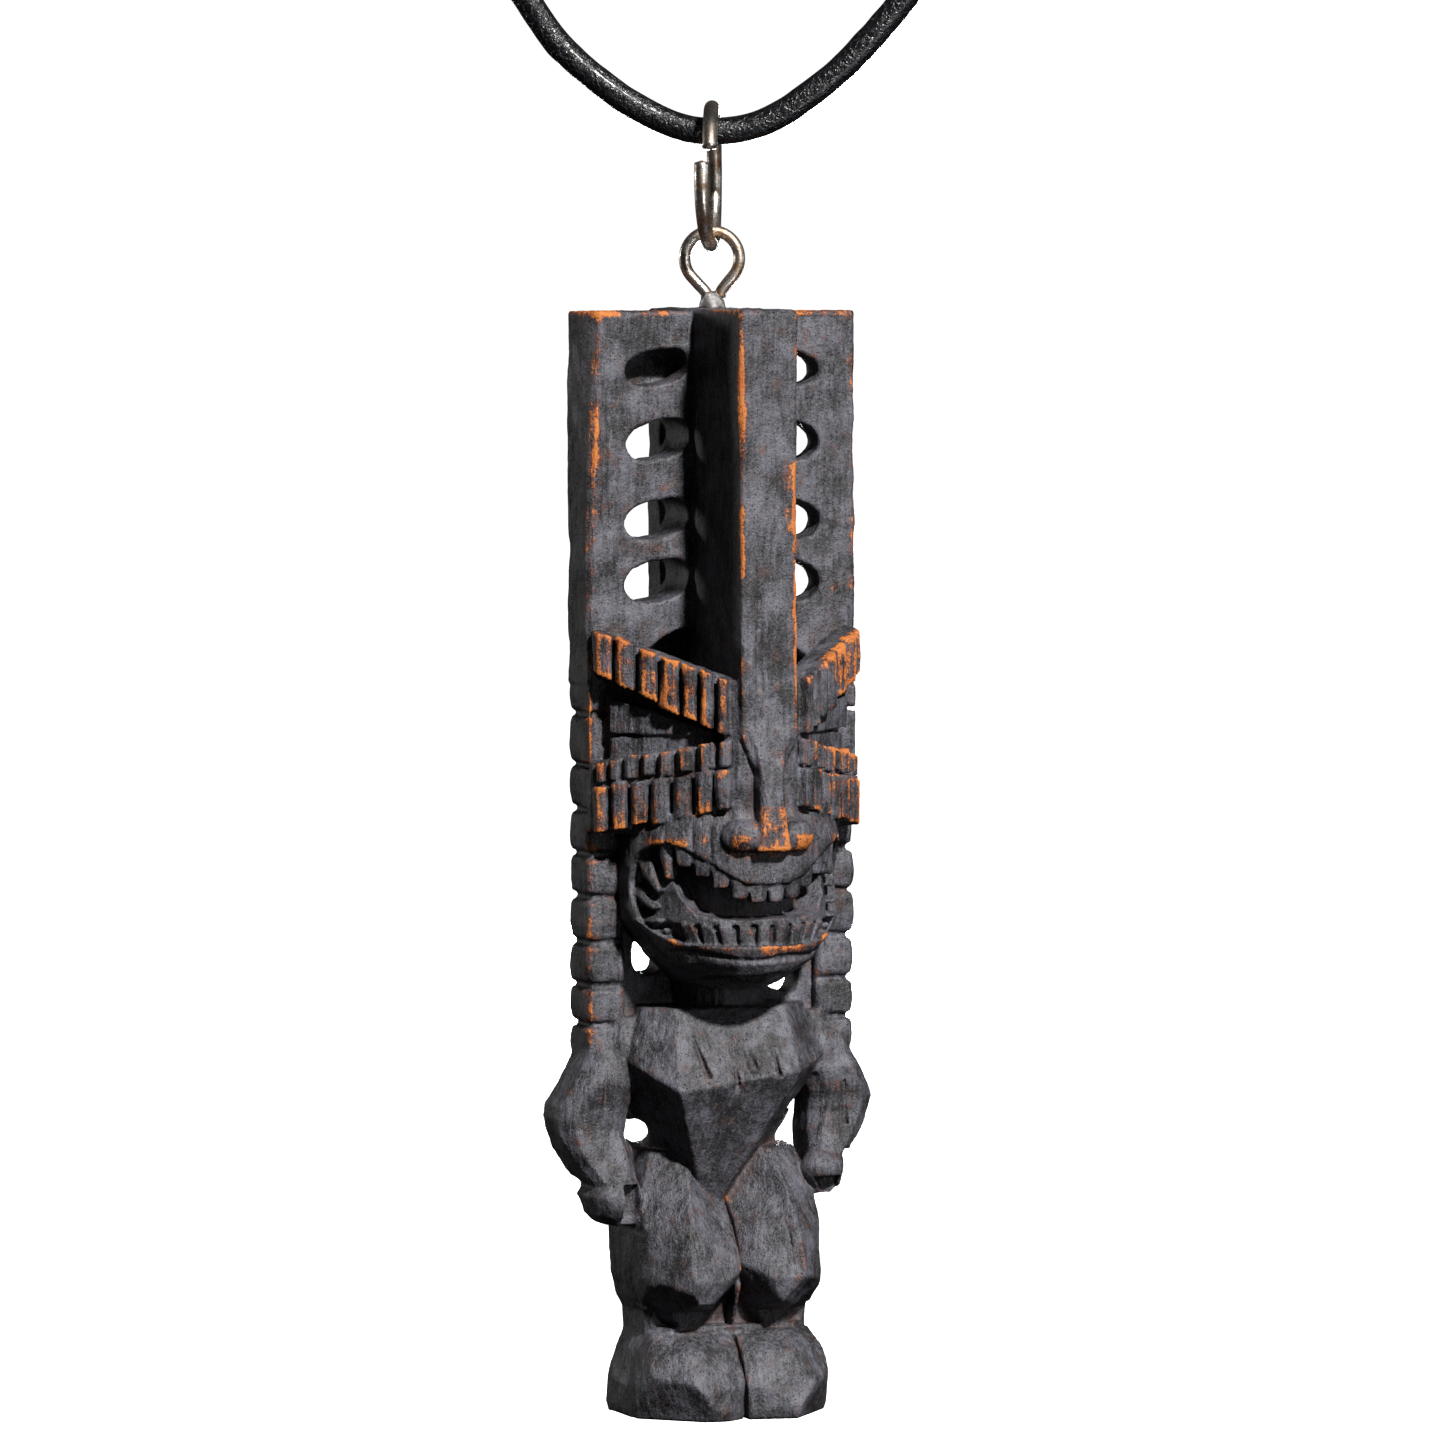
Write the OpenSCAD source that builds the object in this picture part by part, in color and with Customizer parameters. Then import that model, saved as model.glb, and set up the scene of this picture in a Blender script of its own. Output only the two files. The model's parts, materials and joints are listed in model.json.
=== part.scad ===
// Carved tiki pendant: a dark-stained carving on an eye pin, an open jump ring and a folded leather neck cord.
// Millimetres, +Z up. The figure faces -Y.
// The origin is the underside of the folded cord's top bend, where a peg carries it.

/* [Headdress] */
// Height of the carving, from the soles to the top of the headdress
figure_h = 80; // [79:0.5:84]
// Width across the headdress plate
headdress_w = 21; // [21:0.1:22]
// Thickness of the headdress plate and of the bead braids
plate_t = 3.8; // [3.6:0.1:4.2]
// Width of the fin that runs down the front
fin_w = 4.3; // [4:0.1:4.6]
// How far the fin stands in front of the plate
fin_reach = 9; // [9:0.1:9.6]
// Height of each pierced slot
slot_h = 3.4; // [2.8:0.1:3.6]
// Number of slots on each side
slot_count = 4; // [3:1:4]

/* [Face] */
// Number of ridges on each brow
brow_ridges = 8; // [6:1:10]
// Number of ridges on each cheek band
cheek_ridges = 7; // [6:1:10]
// Number of teeth in the upper row
upper_tooth_count = 8; // [6:1:9]
// Number of teeth in the lower row
lower_tooth_count = 9; // [6:1:10]
// Number of beads on each braid
bead_count = 9; // [7:1:10]

/* [Hardware] */
// Wire diameter of the eye pin
pin_wire = 0.84; // [0.7:0.02:0.86]
// Radius of the eye, at the middle of its wire
eye_r = 1.98; // [1.96:0.01:2.1]
// Length of the pin's stem inside the carving
stem_l = 8; // [5:0.5:12]
// Wire diameter of the jump ring
ring_wire = 1.1; // [0.9:0.05:1.1]
// Radius of the jump ring, at the middle of its wire
ring_r = 4.95; // [4.95:0.01:5]

/* [Cord] */
// Diameter of the leather cord
cord_d = 2; // [1.6:0.1:2]
// Length of the straight part of the folded cord's runs
run_l = 20; // [18:1:24]
// Number of cord layers in the folded cord
layers = 6; // [6:2:8]

/* [Hidden] */
$fn = 48;

stain = "#2c2724";
worn = "#8a4524";
nickel = "#8d8072";
leather = "#141416";

// Heights above the soles
plate_z = 54;
crown_z = 56;
cheek_z = 42;
chin_z = 32;
shoulder_z = 29.6;
braid_z = 25.5;
elbow_z = 21.8;
hip_z = 17.5;
ankle_z = 6;
hook_z = 160;

plate_half = headdress_w / 2;
face_half = plate_half - 0.1;
braid_in = 7.6;
plate_y = plate_t / 2;
fin_y = plate_y + fin_reach;
prow_y = fin_y - 0.4;
cheek_y = plate_y + 0.6;
spine_y = plate_y + 3.7;
spine_half = 3;
mouth_y = 8;

// The eye, the ring and the cord hang turned about the vertical
eye_turn = -22;
ring_turn = -27;
eye_z = figure_h + 3.6;
neck_drop = 3;
ring_low_z = eye_z + eye_r - pin_wire / 2 - 0.06 - ring_wire / 2;
ring_z = ring_low_z + ring_r;
ring_gap_angle = 18;
ring_gap_half = 5;
ring_spread = 7.5;

// The folded cord's end bends, at the middle of the cord, and the heights of their centres
hank_r = 5;
hank_half = hank_r + cord_d / 2;
hank_deep = layers * cord_d;
bend_high_z = hook_z + cord_d / 2 - hank_r;
bend_low_z = bend_high_z - run_l;

// Route of the free cord, as distance across and height, from the left run over the ring to the right run
route = [
    [-5, 142], [-5.5, 137.5], [-7.25, 133.5], [-10, 129], [-13, 124.5], [-15.5, 120],
    [-17, 115.5], [-17.25, 111], [-16, 106.5], [-13.5, 102.5], [-11.5, 99.5], [-9.5, 97.5],
    [-7, 95.5], [-4.5, 94], [-2, 93], [0, 92.75], [2.5, 93], [4.5, 93.75], [6.5, 95],
    [9, 97], [11, 99], [14, 102.5], [16.5, 106.5], [17.5, 111], [17, 115.5], [15.5, 120],
    [13, 124.5], [10, 129], [7.25, 133.5], [5.5, 137.5], [5, 142]
];
cord_sides = 8;

// The soles stand this far under the origin
module hung() translate([0, 0, -hook_z]) children();

// A half outline, front to back on the right, and its mirror image on the left
function both(half) = concat(half, [for (i = [len(half) - 1 : -1 : 0]) [-half[i][0], half[i][1]]]);

// A rectangle with cut corners, anticlockwise from its front left corner
function cut_box(x, y, cut) = [
    [x[0] + cut, y[0]], [x[1] - cut, y[0]], [x[1], y[0] + cut], [x[1], y[1] - cut],
    [x[1] - cut, y[1]], [x[0] + cut, y[1]], [x[0], y[1] - cut], [x[0], y[0] + cut]
];

// A closed faceted block through outlines that all have the same number of corners
module carved(levels) {
    n = len(levels[0][1]);
    top = (len(levels) - 1) * n;
    corners = [for (level = levels, p = level[1]) [p[0], p[1], level[0]]];
    sides = [
        for (k = [0 : len(levels) - 2], i = [0 : n - 1])
            let (a = k * n + i, b = k * n + (i + 1) % n)
            each [[a, a + n, b + n], [a, b + n, b]]
    ];
    polyhedron(corners, concat([[for (i = [0 : n - 1]) i]], [[for (i = [n - 1 : -1 : 0]) top + i]], sides));
}

// The left side's own copy of a right-hand shape
module on_left() mirror([1, 0, 0]) children();

// Puts a shape on the right cheek's slanted face: x runs outwards along it and -y stands off it
module on_cheek() {
    turn = atan2(prow_y - cheek_y, face_half - fin_w / 2);
    translate([fin_w / 2, -prow_y, 0]) rotate([0, 0, turn]) children();
}

// A slab on the cheek between two slanted edges
module cheek_slab(x, low, high, depth) {
    rotate([90, 0, 0]) linear_extrude(depth)
        polygon([[x[0], low[0]], [x[1], low[1]], [x[1], high[1]], [x[0], high[0]]]);
}

// A band on the cheek with raised ridges across it
module ridge_band(low, high, count, depth, relief) {
    x = [0.3, 11.2];
    pitch = (x[1] - x[0]) / count;
    rise = function (edge, at) edge[0] + (edge[1] - edge[0]) * (at - x[0]) / (x[1] - x[0]);
    on_cheek() union() {
        cheek_slab(x, low, high, depth);
        for (i = [0 : count - 1]) {
            a = x[0] + (i + 0.14) * pitch;
            b = x[0] + (i + 0.86) * pitch;
            cheek_slab([a, b], [rise(low, a), rise(low, b)], [rise(high, a), rise(high, b)], depth + relief);
        }
    }
}

module slot() {
    rotate([90, 0, 0]) linear_extrude(plate_t + 2, center = true) union() {
        translate([slot_h / 2 + 2.4, 0]) square([slot_h, slot_h], center = true);
        translate([5.8, 0]) circle(d = slot_h);
    }
}

module headdress_plate() {
    pitch = 5.1;
    color(stain) hung() difference() {
        translate([-plate_half, -plate_y, plate_z]) cube([headdress_w, plate_t, figure_h - plate_z]);
        for (i = [0 : slot_count - 1]) translate([0, 0, figure_h - 4.2 - i * pitch]) {
            slot();
            on_left() slot();
        }
        translate([0, 0, figure_h - stem_l - 0.3]) cylinder(d = pin_wire + 0.06, h = stem_l + 1);
    }
}

module front_fin() {
    color(stain) hung()
        translate([-fin_w / 2, -fin_y, crown_z]) cube([fin_w, fin_reach, figure_h - crown_z]);
}

module rear_spine() {
    color(stain) hung() translate([-spine_half, plate_y, chin_z])
        cube([2 * spine_half, spine_y - plate_y, figure_h - chin_z]);
}

module skull() {
    color(stain) hung() translate([-braid_in, -plate_y, chin_z])
        cube([2 * braid_in, plate_t, plate_z - chin_z]);
}

module face_block() {
    half = [[fin_w / 2, -prow_y], [face_half, -cheek_y], [face_half, -plate_y]];
    color(stain) hung() carved([[cheek_z, both(half)], [crown_z, both(half)]]);
}

module nose_bridge() {
    function across(w, y) = both([[w / 2, -y], [w / 2, -prow_y]]);
    color(stain) hung() carved([
        [43.7, across(1.95, prow_y + 0.8)], [48, across(1.95, prow_y + 0.8)],
        [49.5, across(fin_w, prow_y + 0.4)], [crown_z, across(fin_w, prow_y + 0.4)]
    ]);
}

module nose_tip() {
    function across(w, y) = both([[w / 4, -y], [w / 2, -prow_y - 0.3], [w / 2, -prow_y]]);
    color(worn) hung() carved([[41.2, across(6.5, prow_y + 1)], [42, across(6.5, prow_y + 1.6)], [43.7, across(3, prow_y + 1)]]);
}

module brow() color(worn) hung() ridge_band([49.3, 53.9], [52.8, 57], brow_ridges, 0.7, 0.6);
module brow_right() brow();
module brow_left() on_left() brow();

module eyelid() {
    color(stain) hung() on_cheek() cheek_slab([4.5, 10.8], [49.3, 48], [50.2, 51.2], 0.9);
}
module eyelid_right() eyelid();
module eyelid_left() on_left() eyelid();

module upper_cheek() color(stain) hung() ridge_band([47, 45.7], [49, 47.4], cheek_ridges, 0.6, 0.5);
module upper_cheek_right() upper_cheek();
module upper_cheek_left() on_left() upper_cheek();

module lower_cheek() color(worn) hung() ridge_band([44.2, 42.2], [46.7, 45.2], cheek_ridges, 0.9, 0.6);
module lower_cheek_right() lower_cheek();
module lower_cheek_left() on_left() lower_cheek();

module muzzle() {
    function section(w, front) = both([
        [0.32 * w, -front], [0.82 * w, -front + 2], [w, -front + 5.6], [0.94 * w, -plate_y]
    ]);
    color(stain) hung() difference() {
        carved([
            [chin_z, section(5.6, 8)], [34, section(7.2, 10.2)],
            [38, section(8.1, prow_y)], [cheek_z, section(8, prow_y)]
        ]);
        translate([-5.6, -14, 34.4]) cube([11.2, 14 - mouth_y, 5.6]);
    }
}

// A row of teeth that stand side by side from the back of the mouth
module tooth_row(count, z, tall) {
    pitch = 10.4 / count;
    for (i = [0 : count - 1]) translate([-5.2 + (i + 0.1) * pitch, -mouth_y - 1.3, z])
        cube([0.8 * pitch, 1.3, tall]);
}
module upper_teeth() color(stain) hung() tooth_row(upper_tooth_count, 38.4, 1.6);
module lower_teeth() color(stain) hung() tooth_row(lower_tooth_count, 34.4, 1.6);

module braid() {
    pitch = (plate_z - braid_z) / bead_count;
    outer = plate_half - 0.1;
    function bead(z, x) = [z, cut_box([braid_in, x], [-plate_y, plate_y], 0.3)];
    color(stain) hung() carved([
        for (i = [0 : bead_count - 1])
            let (z = braid_z + i * pitch)
            each [bead(z, outer - 0.7), bead(z + 0.15 * pitch, outer), bead(z + 0.85 * pitch, outer)],
        bead(plate_z, outer - 0.7)
    ]);
}
module braid_right() braid();
module braid_left() on_left() braid();

module neck() color(stain) hung() translate([0, -0.8, shoulder_z]) cylinder(r = 3.4, h = chin_z - shoulder_z);

module torso() {
    function section(w, front, side, back) = both([[w, -front], [side, -1.9], [side, 1.9], [3, back]]);
    color(stain) hung() carved([
        [hip_z, section(1.6, 3.2, 5, 4.6)], [21, section(2.6, 5, 4.6, 4.4)],
        [24, section(5.2, 7, 6.2, 4.6)], [26, section(4.2, 6.4, braid_in, 5)],
        [28, section(3.6, 5.6, braid_in, 5)], [shoulder_z, section(3, 4.4, 5, 4.4)]
    ]);
}

module upper_arm() {
    color(stain) hung() carved([
        [elbow_z, cut_box([8.6, 12.2], [-1.8, 2.4], 0.8)],
        [braid_z, cut_box([braid_in, 10.4], [-2.4, 2.2], 0.7)]
    ]);
}
module upper_arm_right() upper_arm();
module upper_arm_left() on_left() upper_arm();

module forearm() {
    color(stain) hung() carved([
        [14.2, cut_box([braid_in, 9.8], [-3.4, 0.6], 0.5)],
        [17.2, cut_box([braid_in, 10.4], [-3.2, 1.4], 0.5)],
        [elbow_z, cut_box([8.6, 12.2], [-1.8, 2.4], 0.8)]
    ]);
}
module forearm_right() forearm();
module forearm_left() on_left() forearm();

module leg() {
    color(stain) hung() carved([
        [ankle_z, cut_box([0.4, 6.6], [-3.8, 3.6], 0.8)],
        [7.6, cut_box([0.4, 7], [-4.4, 3.8], 0.8)],
        [9.2, cut_box([0.4, 7.6], [-7.4, 4], 1)],
        [13, cut_box([0.4, braid_in], [-6.4, 4.6], 1)],
        [hip_z, cut_box([0.4, braid_in], [-3.6, 4.8], 1)]
    ]);
}
module leg_right() leg();
module leg_left() on_left() leg();

module foot() {
    color(stain) hung() carved([
        [0, cut_box([0.4, 8.4], [-7.8, 4], 1)],
        [3.4, cut_box([0.4, 8.4], [-7.8, 4], 1)],
        [5.2, cut_box([0.4, 7.4], [-5.8, 3.8], 0.9)],
        [ankle_z, cut_box([0.4, 6.6], [-3.8, 3.6], 0.8)]
    ]);
}
module foot_right() foot();
module foot_left() on_left() foot();

// A closed eye whose two legs meet over a straight stem, with a small ball where each bend starts
module eye_pin() {
    away = acos(eye_r / neck_drop);
    leg_l = sqrt(neck_drop * neck_drop - eye_r * eye_r);
    ball_d = pin_wire + 0.04;
    trim = 1;
    color(nickel) hung() translate([0, 0, eye_z]) rotate([0, 0, eye_turn]) {
        rotate([90, 0, 0]) rotate([0, 0, away - 90 + trim])
            rotate_extrude(angle = 360 - 2 * away - 2 * trim) translate([eye_r, 0]) circle(d = pin_wire);
        for (side = [-1, 1]) translate([0, 0, -neck_drop]) rotate([0, side * (90 - away), 0]) {
            cylinder(d = pin_wire, h = leg_l - 0.05);
            translate([0, 0, leg_l]) sphere(d = ball_d);
        }
        translate([0, 0, -neck_drop]) sphere(d = ball_d);
        translate([0, 0, figure_h - stem_l - eye_z])
            cylinder(d = pin_wire, h = stem_l + eye_z - neck_drop - figure_h);
    }
}

module glue_bead() {
    color("gray") hung() translate([0, 0, figure_h]) rotate_extrude()
        translate([pin_wire / 2, 0]) difference() {
            circle(r = 0.55);
            translate([-1, -2]) square(2);
            translate([-2, -1]) square([2, 3]);
        }
}

// One open ring. Its front lower quarter is sprung sideways, away from the other end.
module jump_ring() {
    color(nickel) hung() translate([0, 0, ring_z]) {
        rotate([0, 0, ring_turn + 90]) rotate([90, 0, 0]) rotate([0, 0, -90])
            rotate_extrude(angle = 270 - ring_gap_angle - ring_gap_half) translate([ring_r, 0]) circle(d = ring_wire);
        rotate([0, 0, ring_turn - ring_spread + 90]) rotate([90, 0, 0])
            rotate([0, 0, 180 - ring_gap_angle + ring_gap_half])
            rotate_extrude(angle = 90 + ring_gap_angle - ring_gap_half) translate([ring_r, 0]) circle(d = ring_wire);
        translate([0, 0, -ring_r]) sphere(d = ring_wire + 0.04);
    }
}

function unit(v) = v / norm(v);
function heading(i) = unit(route[min(i + 1, len(route) - 1)] - route[max(i - 1, 0)]);

// The free cord, swept along its route in one upright plane
module cord_strand() {
    rings = [
        for (i = [0 : len(route) - 1])
            let (along = heading(i), across = [-along[1], along[0]])
            [for (k = [0 : cord_sides - 1])
                let (a = 360 * k / cord_sides, c = cord_d / 2 * cos(a), p = route[i] + c * across)
                [p[0], cord_d / 2 * sin(a), p[1]]]
    ];
    n = cord_sides;
    last = (len(route) - 1) * n;
    skin = [
        for (i = [0 : len(route) - 2], k = [0 : n - 1])
            let (a = i * n + k, b = i * n + (k + 1) % n)
            each [[a, b, b + n], [a, b + n, a + n]]
    ];
    ends = [[for (k = [n - 1 : -1 : 0]) k], [for (k = [0 : n - 1]) last + k]];
    color(leather) hung() rotate([0, 0, eye_turn]) polyhedron([for (r = rings) each r], concat(skin, ends));
}

// The outer shape of the folded cord, a racetrack with round ends
module cord_hank() {
    color(leather) hung() rotate([0, 0, eye_turn]) translate([0, 0, bend_low_z])
        rotate([90, 0, 0]) linear_extrude(hank_deep, center = true) union() {
            circle(r = hank_half);
            translate([-hank_half, 0]) square([2 * hank_half, run_l]);
            translate([0, run_l]) circle(r = hank_half);
        }
}

// A leather strip wrapped round the folded cord's waist
module cord_tie() {
    strip_t = 0.8;
    strip_w = 4;
    color(leather) hung() rotate([0, 0, eye_turn]) translate([0, 0, bend_low_z + run_l / 2]) difference() {
        cube([2 * (hank_half + strip_t), hank_deep + 2 * strip_t, strip_w], center = true);
        cube([2 * hank_half, hank_deep, strip_w + 1], center = true);
    }
}

// The knot that joins the cord's two ends, on top of the folded cord
module cord_knot() {
    color(leather) hung() translate([0, 0, bend_high_z + hank_half]) cylinder(r = 3, h = 6);
}

headdress_plate();
front_fin();
rear_spine();
skull();
face_block();
nose_bridge();
nose_tip();
brow_left();
brow_right();
eyelid_left();
eyelid_right();
upper_cheek_left();
upper_cheek_right();
lower_cheek_left();
lower_cheek_right();
muzzle();
upper_teeth();
lower_teeth();
braid_left();
braid_right();
neck();
torso();
upper_arm_left();
upper_arm_right();
forearm_left();
forearm_right();
leg_left();
leg_right();
foot_left();
foot_right();
eye_pin();
glue_bead();
jump_ring();
cord_strand();
cord_hank();
cord_tie();
cord_knot();
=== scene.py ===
"""Carved tiki pendant: a dark-stained carving on an eye pin, an open jump ring and a folded leather cord.

The carving is sculpted as a field of distances, in millimetres above its own soles, and then skinned.
Its figure faces -Y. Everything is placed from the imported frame.
"""

import json
import logging
import math
from collections.abc import Callable, Sequence
from dataclasses import dataclass, field
from enum import Enum

import bpy
import numpy as np
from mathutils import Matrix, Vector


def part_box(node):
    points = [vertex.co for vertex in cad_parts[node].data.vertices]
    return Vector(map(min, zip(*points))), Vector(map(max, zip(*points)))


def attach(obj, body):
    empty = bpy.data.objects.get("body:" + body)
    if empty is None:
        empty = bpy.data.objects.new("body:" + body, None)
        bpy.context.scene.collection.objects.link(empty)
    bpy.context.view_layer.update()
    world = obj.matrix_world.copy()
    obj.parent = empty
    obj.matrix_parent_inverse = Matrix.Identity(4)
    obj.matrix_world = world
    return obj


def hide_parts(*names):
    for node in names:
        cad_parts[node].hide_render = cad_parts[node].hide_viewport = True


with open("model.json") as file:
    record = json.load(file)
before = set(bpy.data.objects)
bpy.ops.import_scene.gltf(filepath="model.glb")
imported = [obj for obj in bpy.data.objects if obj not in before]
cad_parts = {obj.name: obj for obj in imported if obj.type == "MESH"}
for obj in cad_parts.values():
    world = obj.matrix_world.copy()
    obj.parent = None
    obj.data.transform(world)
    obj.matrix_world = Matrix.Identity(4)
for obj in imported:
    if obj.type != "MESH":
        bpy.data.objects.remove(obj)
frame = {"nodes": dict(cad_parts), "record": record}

import openvdb
from bpy.types import Material, NodeSocket, Object
from mathutils import Vector

logging.basicConfig(level=logging.INFO, format="%(name)s: %(message)s")
LOG = logging.getLogger("tiki pendant")

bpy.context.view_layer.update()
MM = 0.001
SOLE_Z = float(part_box("foot_left")[0][2])
CROWN_MM = (float(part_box("headdress_plate")[1][2]) - SOLE_Z) / MM
HANG_TURN = math.radians(-22)

Array = np.ndarray
Pair = tuple[float, float]
Row = tuple[float, ...]
Point = tuple[float, float, float]
Outline = Sequence[Pair]
Distance = Callable[[Array, Array, Array], Array]
Colour = tuple[float, float, float, float]


# ---- number helpers


def smooth_step(value: Array, low: float, high: float) -> Array:
    """A soft step from 0 at low to 1 at high.

    Args:
        value: the values to step.
        low: where the step starts.
        high: where it ends.

    Returns:
        The stepped values.
    """
    t = np.clip((value - low) / (high - low), 0.0, 1.0)
    return t * t * (3.0 - 2.0 * t)


def smooth_min(a: Array, b: Array, soft: float) -> Array:
    """The lesser of two fields, blended over a width.

    Args:
        a: one field.
        b: the other field.
        soft: the blend's width, or 0 for a crisp join.

    Returns:
        The blended field.
    """
    if soft <= 0.0:
        return np.minimum(a, b)
    h = np.clip(0.5 + 0.5 * (b - a) / soft, 0.0, 1.0)
    return b + (a - b) * h - soft * h * (1.0 - h)


@dataclass(frozen=True)
class LatticeNoise:
    """Smooth random values on a repeating lattice, the same for the same seed."""

    seed: int
    size: int = 32

    def table(self) -> Array:
        """The lattice's own random values, from -1 to 1."""
        return np.random.default_rng(self.seed).uniform(-1, 1, (self.size,) * 3).astype(np.float32)

    def at(self, points: Array, pitch: Sequence[float]) -> Array:
        """The noise at some points.

        Args:
            points: an N by 3 array.
            pitch: the lattice's spacing along x, y and z.

        Returns:
            N values from about -1 to 1.
        """
        table = self.table()
        place = points / np.asarray(pitch)
        cell = np.floor(place).astype(int)
        t = place - cell
        t = t * t * (3 - 2 * t)
        total = np.zeros(len(points))
        for corner in range(8):
            step = np.array([corner & 1, corner >> 1 & 1, corner >> 2 & 1])
            index = (cell + step) % self.size
            weight = np.prod(np.where(step, t, 1 - t), axis=1)
            total += weight * table[index[:, 0], index[:, 1], index[:, 2]]
        return total


# ---- solid shapes


@dataclass(frozen=True)
class Shape:
    """One solid: the box that holds it, and its distance field, negative inside."""

    low: Point
    high: Point
    distance: Distance

    def mirrored(self) -> "Shape":
        """The same solid on the other side of the figure.

        Returns:
            The mirrored solid.
        """
        low = (-self.high[0], self.low[1], self.low[2])
        high = (-self.low[0], self.high[1], self.high[2])

        def distance(x: Array, y: Array, z: Array) -> Array:
            """The solid's own distances, with left and right exchanged."""
            return self.distance(-x, y, z)

        return Shape(low, high, distance)


def both_sides(half: Outline) -> Outline:
    """A full outline from its right half, given front to back.

    Args:
        half: the right half's corners.

    Returns:
        The corners all round, anticlockwise from above.
    """
    return [*half, *[(-x, y) for x, y in reversed(half)]]


def rectangle(x: Pair, y: Pair, cut: float) -> Outline:
    """A rectangle with cut corners.

    Args:
        x: its ends across.
        y: its ends front to back.
        cut: how much each corner loses.

    Returns:
        Eight corners, anticlockwise.
    """
    return [
        (x[0] + cut, y[0]), (x[1] - cut, y[0]), (x[1], y[0] + cut), (x[1], y[1] - cut),
        (x[1] - cut, y[1]), (x[0] + cut, y[1]), (x[0], y[1] - cut), (x[0], y[0] + cut),
    ]


def loft(levels: Sequence[tuple[float, Outline]]) -> Shape:
    """A solid with flat carved facets between outlines at rising heights.

    Args:
        levels: pairs of a height and a convex anticlockwise outline, all with the same number of corners.

    Returns:
        The solid.
    """
    heights = np.array([height for height, _ in levels], float)
    rings = np.array([outline for _, outline in levels], float)
    count = rings.shape[1]

    def ring_at(zs: Array) -> Array:
        """The outline's corners at some heights."""
        return np.array([[np.interp(zs, heights, rings[:, i, k]) for k in (0, 1)] for i in range(count)])

    def distance(x: Array, y: Array, z: Array) -> Array:
        """How far places are outside the facets.

        Args:
            x, y, z: the places, across, front to back and up.

        Returns:
            Distances, negative inside.
        """
        zs = np.clip(z.ravel(), heights[0] + 0.01, heights[-1] - 0.01)
        here = ring_at(zs)
        rise = (ring_at(zs + 0.01) - ring_at(zs - 0.01)) / 0.02
        far = np.maximum(heights[0] - z, z - heights[-1]) + 0 * x + 0 * y
        for i in range(count):
            a, b = here[i], here[(i + 1) % count]
            edge = b - a
            length = np.maximum(np.hypot(edge[0], edge[1]), 1e-6)
            nx, ny = edge[1] / length, -edge[0] / length
            middle = 0.5 * (rise[i] + rise[(i + 1) % count])
            lean = middle[0] * nx + middle[1] * ny
            tilt = 1 / np.sqrt(1 + lean * lean)
            far = np.maximum(far, ((x - a[0]) * nx + (y - a[1]) * ny) * tilt)
        return far

    low, high = rings.min((0, 1)), rings.max((0, 1))
    return Shape((low[0], low[1], heights[0]), (high[0], high[1], heights[-1]), distance)


def block(levels: Sequence[Row]) -> Shape:
    """A solid with a rectangular section at every height.

    Args:
        levels: each a height, the ends across, the ends front to back, and how much each corner loses.

    Returns:
        The solid.
    """
    return loft([(z, rectangle((x0, x1), (y0, y1), cut)) for z, x0, x1, y0, y1, cut in levels])


def faceted(cuts: Sequence[tuple[Point, Point, Point]], low: Point, high: Point) -> Shape:
    """A block left between flat knife cuts.

    Args:
        cuts: three points on each cut, in any order.
        low: the block's lowest corner.
        high: its highest corner.

    Returns:
        The solid.
    """
    middle = (np.array(low) + np.array(high)) / 2
    planes = []
    for a, b, c in cuts:
        normal = np.cross(np.subtract(b, a), np.subtract(c, a))
        normal = normal / np.linalg.norm(normal)
        if float(normal @ (np.array(a) - middle)) < 0:
            normal = -normal
        planes.append((normal, float(normal @ np.array(a))))

    def distance(x: Array, y: Array, z: Array) -> Array:
        """How far places are outside the cuts.

        Args:
            x, y, z: the places, across, front to back and up.

        Returns:
            Distances, negative inside.
        """
        far = np.maximum(low[2] - z, z - high[2]) + 0 * x + 0 * y
        for (nx, ny, nz), level in planes:
            far = np.maximum(far, nx * x + ny * y + nz * z - level)
        return far

    return Shape(low, high, distance)


def stick(a: Point, b: Point, radius: float, end_radius: float | None = None) -> Shape:
    """A round bar with ball ends, such as a groove's cutter.

    Args:
        a: one end.
        b: the other end.
        radius: its radius at a.
        end_radius: its radius at b, the same if not given.

    Returns:
        The solid.
    """
    end = radius if end_radius is None else end_radius
    start, along = np.array(a), np.array(b) - np.array(a)
    size = float(along @ along)
    wide = max(radius, end)

    def distance(x: Array, y: Array, z: Array) -> Array:
        """How far places are outside the bar.

        Args:
            x, y, z: the places, across, front to back and up.

        Returns:
            Distances, negative inside.
        """
        t = ((x - start[0]) * along[0] + (y - start[1]) * along[1] + (z - start[2]) * along[2]) / size
        t = np.clip(t, 0, 1)
        gap = (x - start[0] - t * along[0]) ** 2 + (y - start[1] - t * along[1]) ** 2
        gap = gap + (z - start[2] - t * along[2]) ** 2
        return np.sqrt(gap) - (radius + t * (end - radius))

    low = tuple(float(min(p, q)) - wide for p, q in zip(a, b, strict=True))
    high = tuple(float(max(p, q)) + wide for p, q in zip(a, b, strict=True))
    return Shape(low, high, distance)


def egg(centre: Point, radii: Point) -> Shape:
    """An ellipsoid.

    Args:
        centre: its middle.
        radii: its radii along x, y and z.

    Returns:
        The solid.
    """

    def distance(x: Array, y: Array, z: Array) -> Array:
        """About how far places are outside the egg."""
        parts = [((p - c) / r) ** 2 for p, c, r in zip((x, y, z), centre, radii, strict=True)]
        return (np.sqrt(parts[0] + parts[1] + parts[2]) - 1) * min(radii)

    low = tuple(c - r for c, r in zip(centre, radii, strict=True))
    high = tuple(c + r for c, r in zip(centre, radii, strict=True))
    return Shape(low, high, distance)


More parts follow.
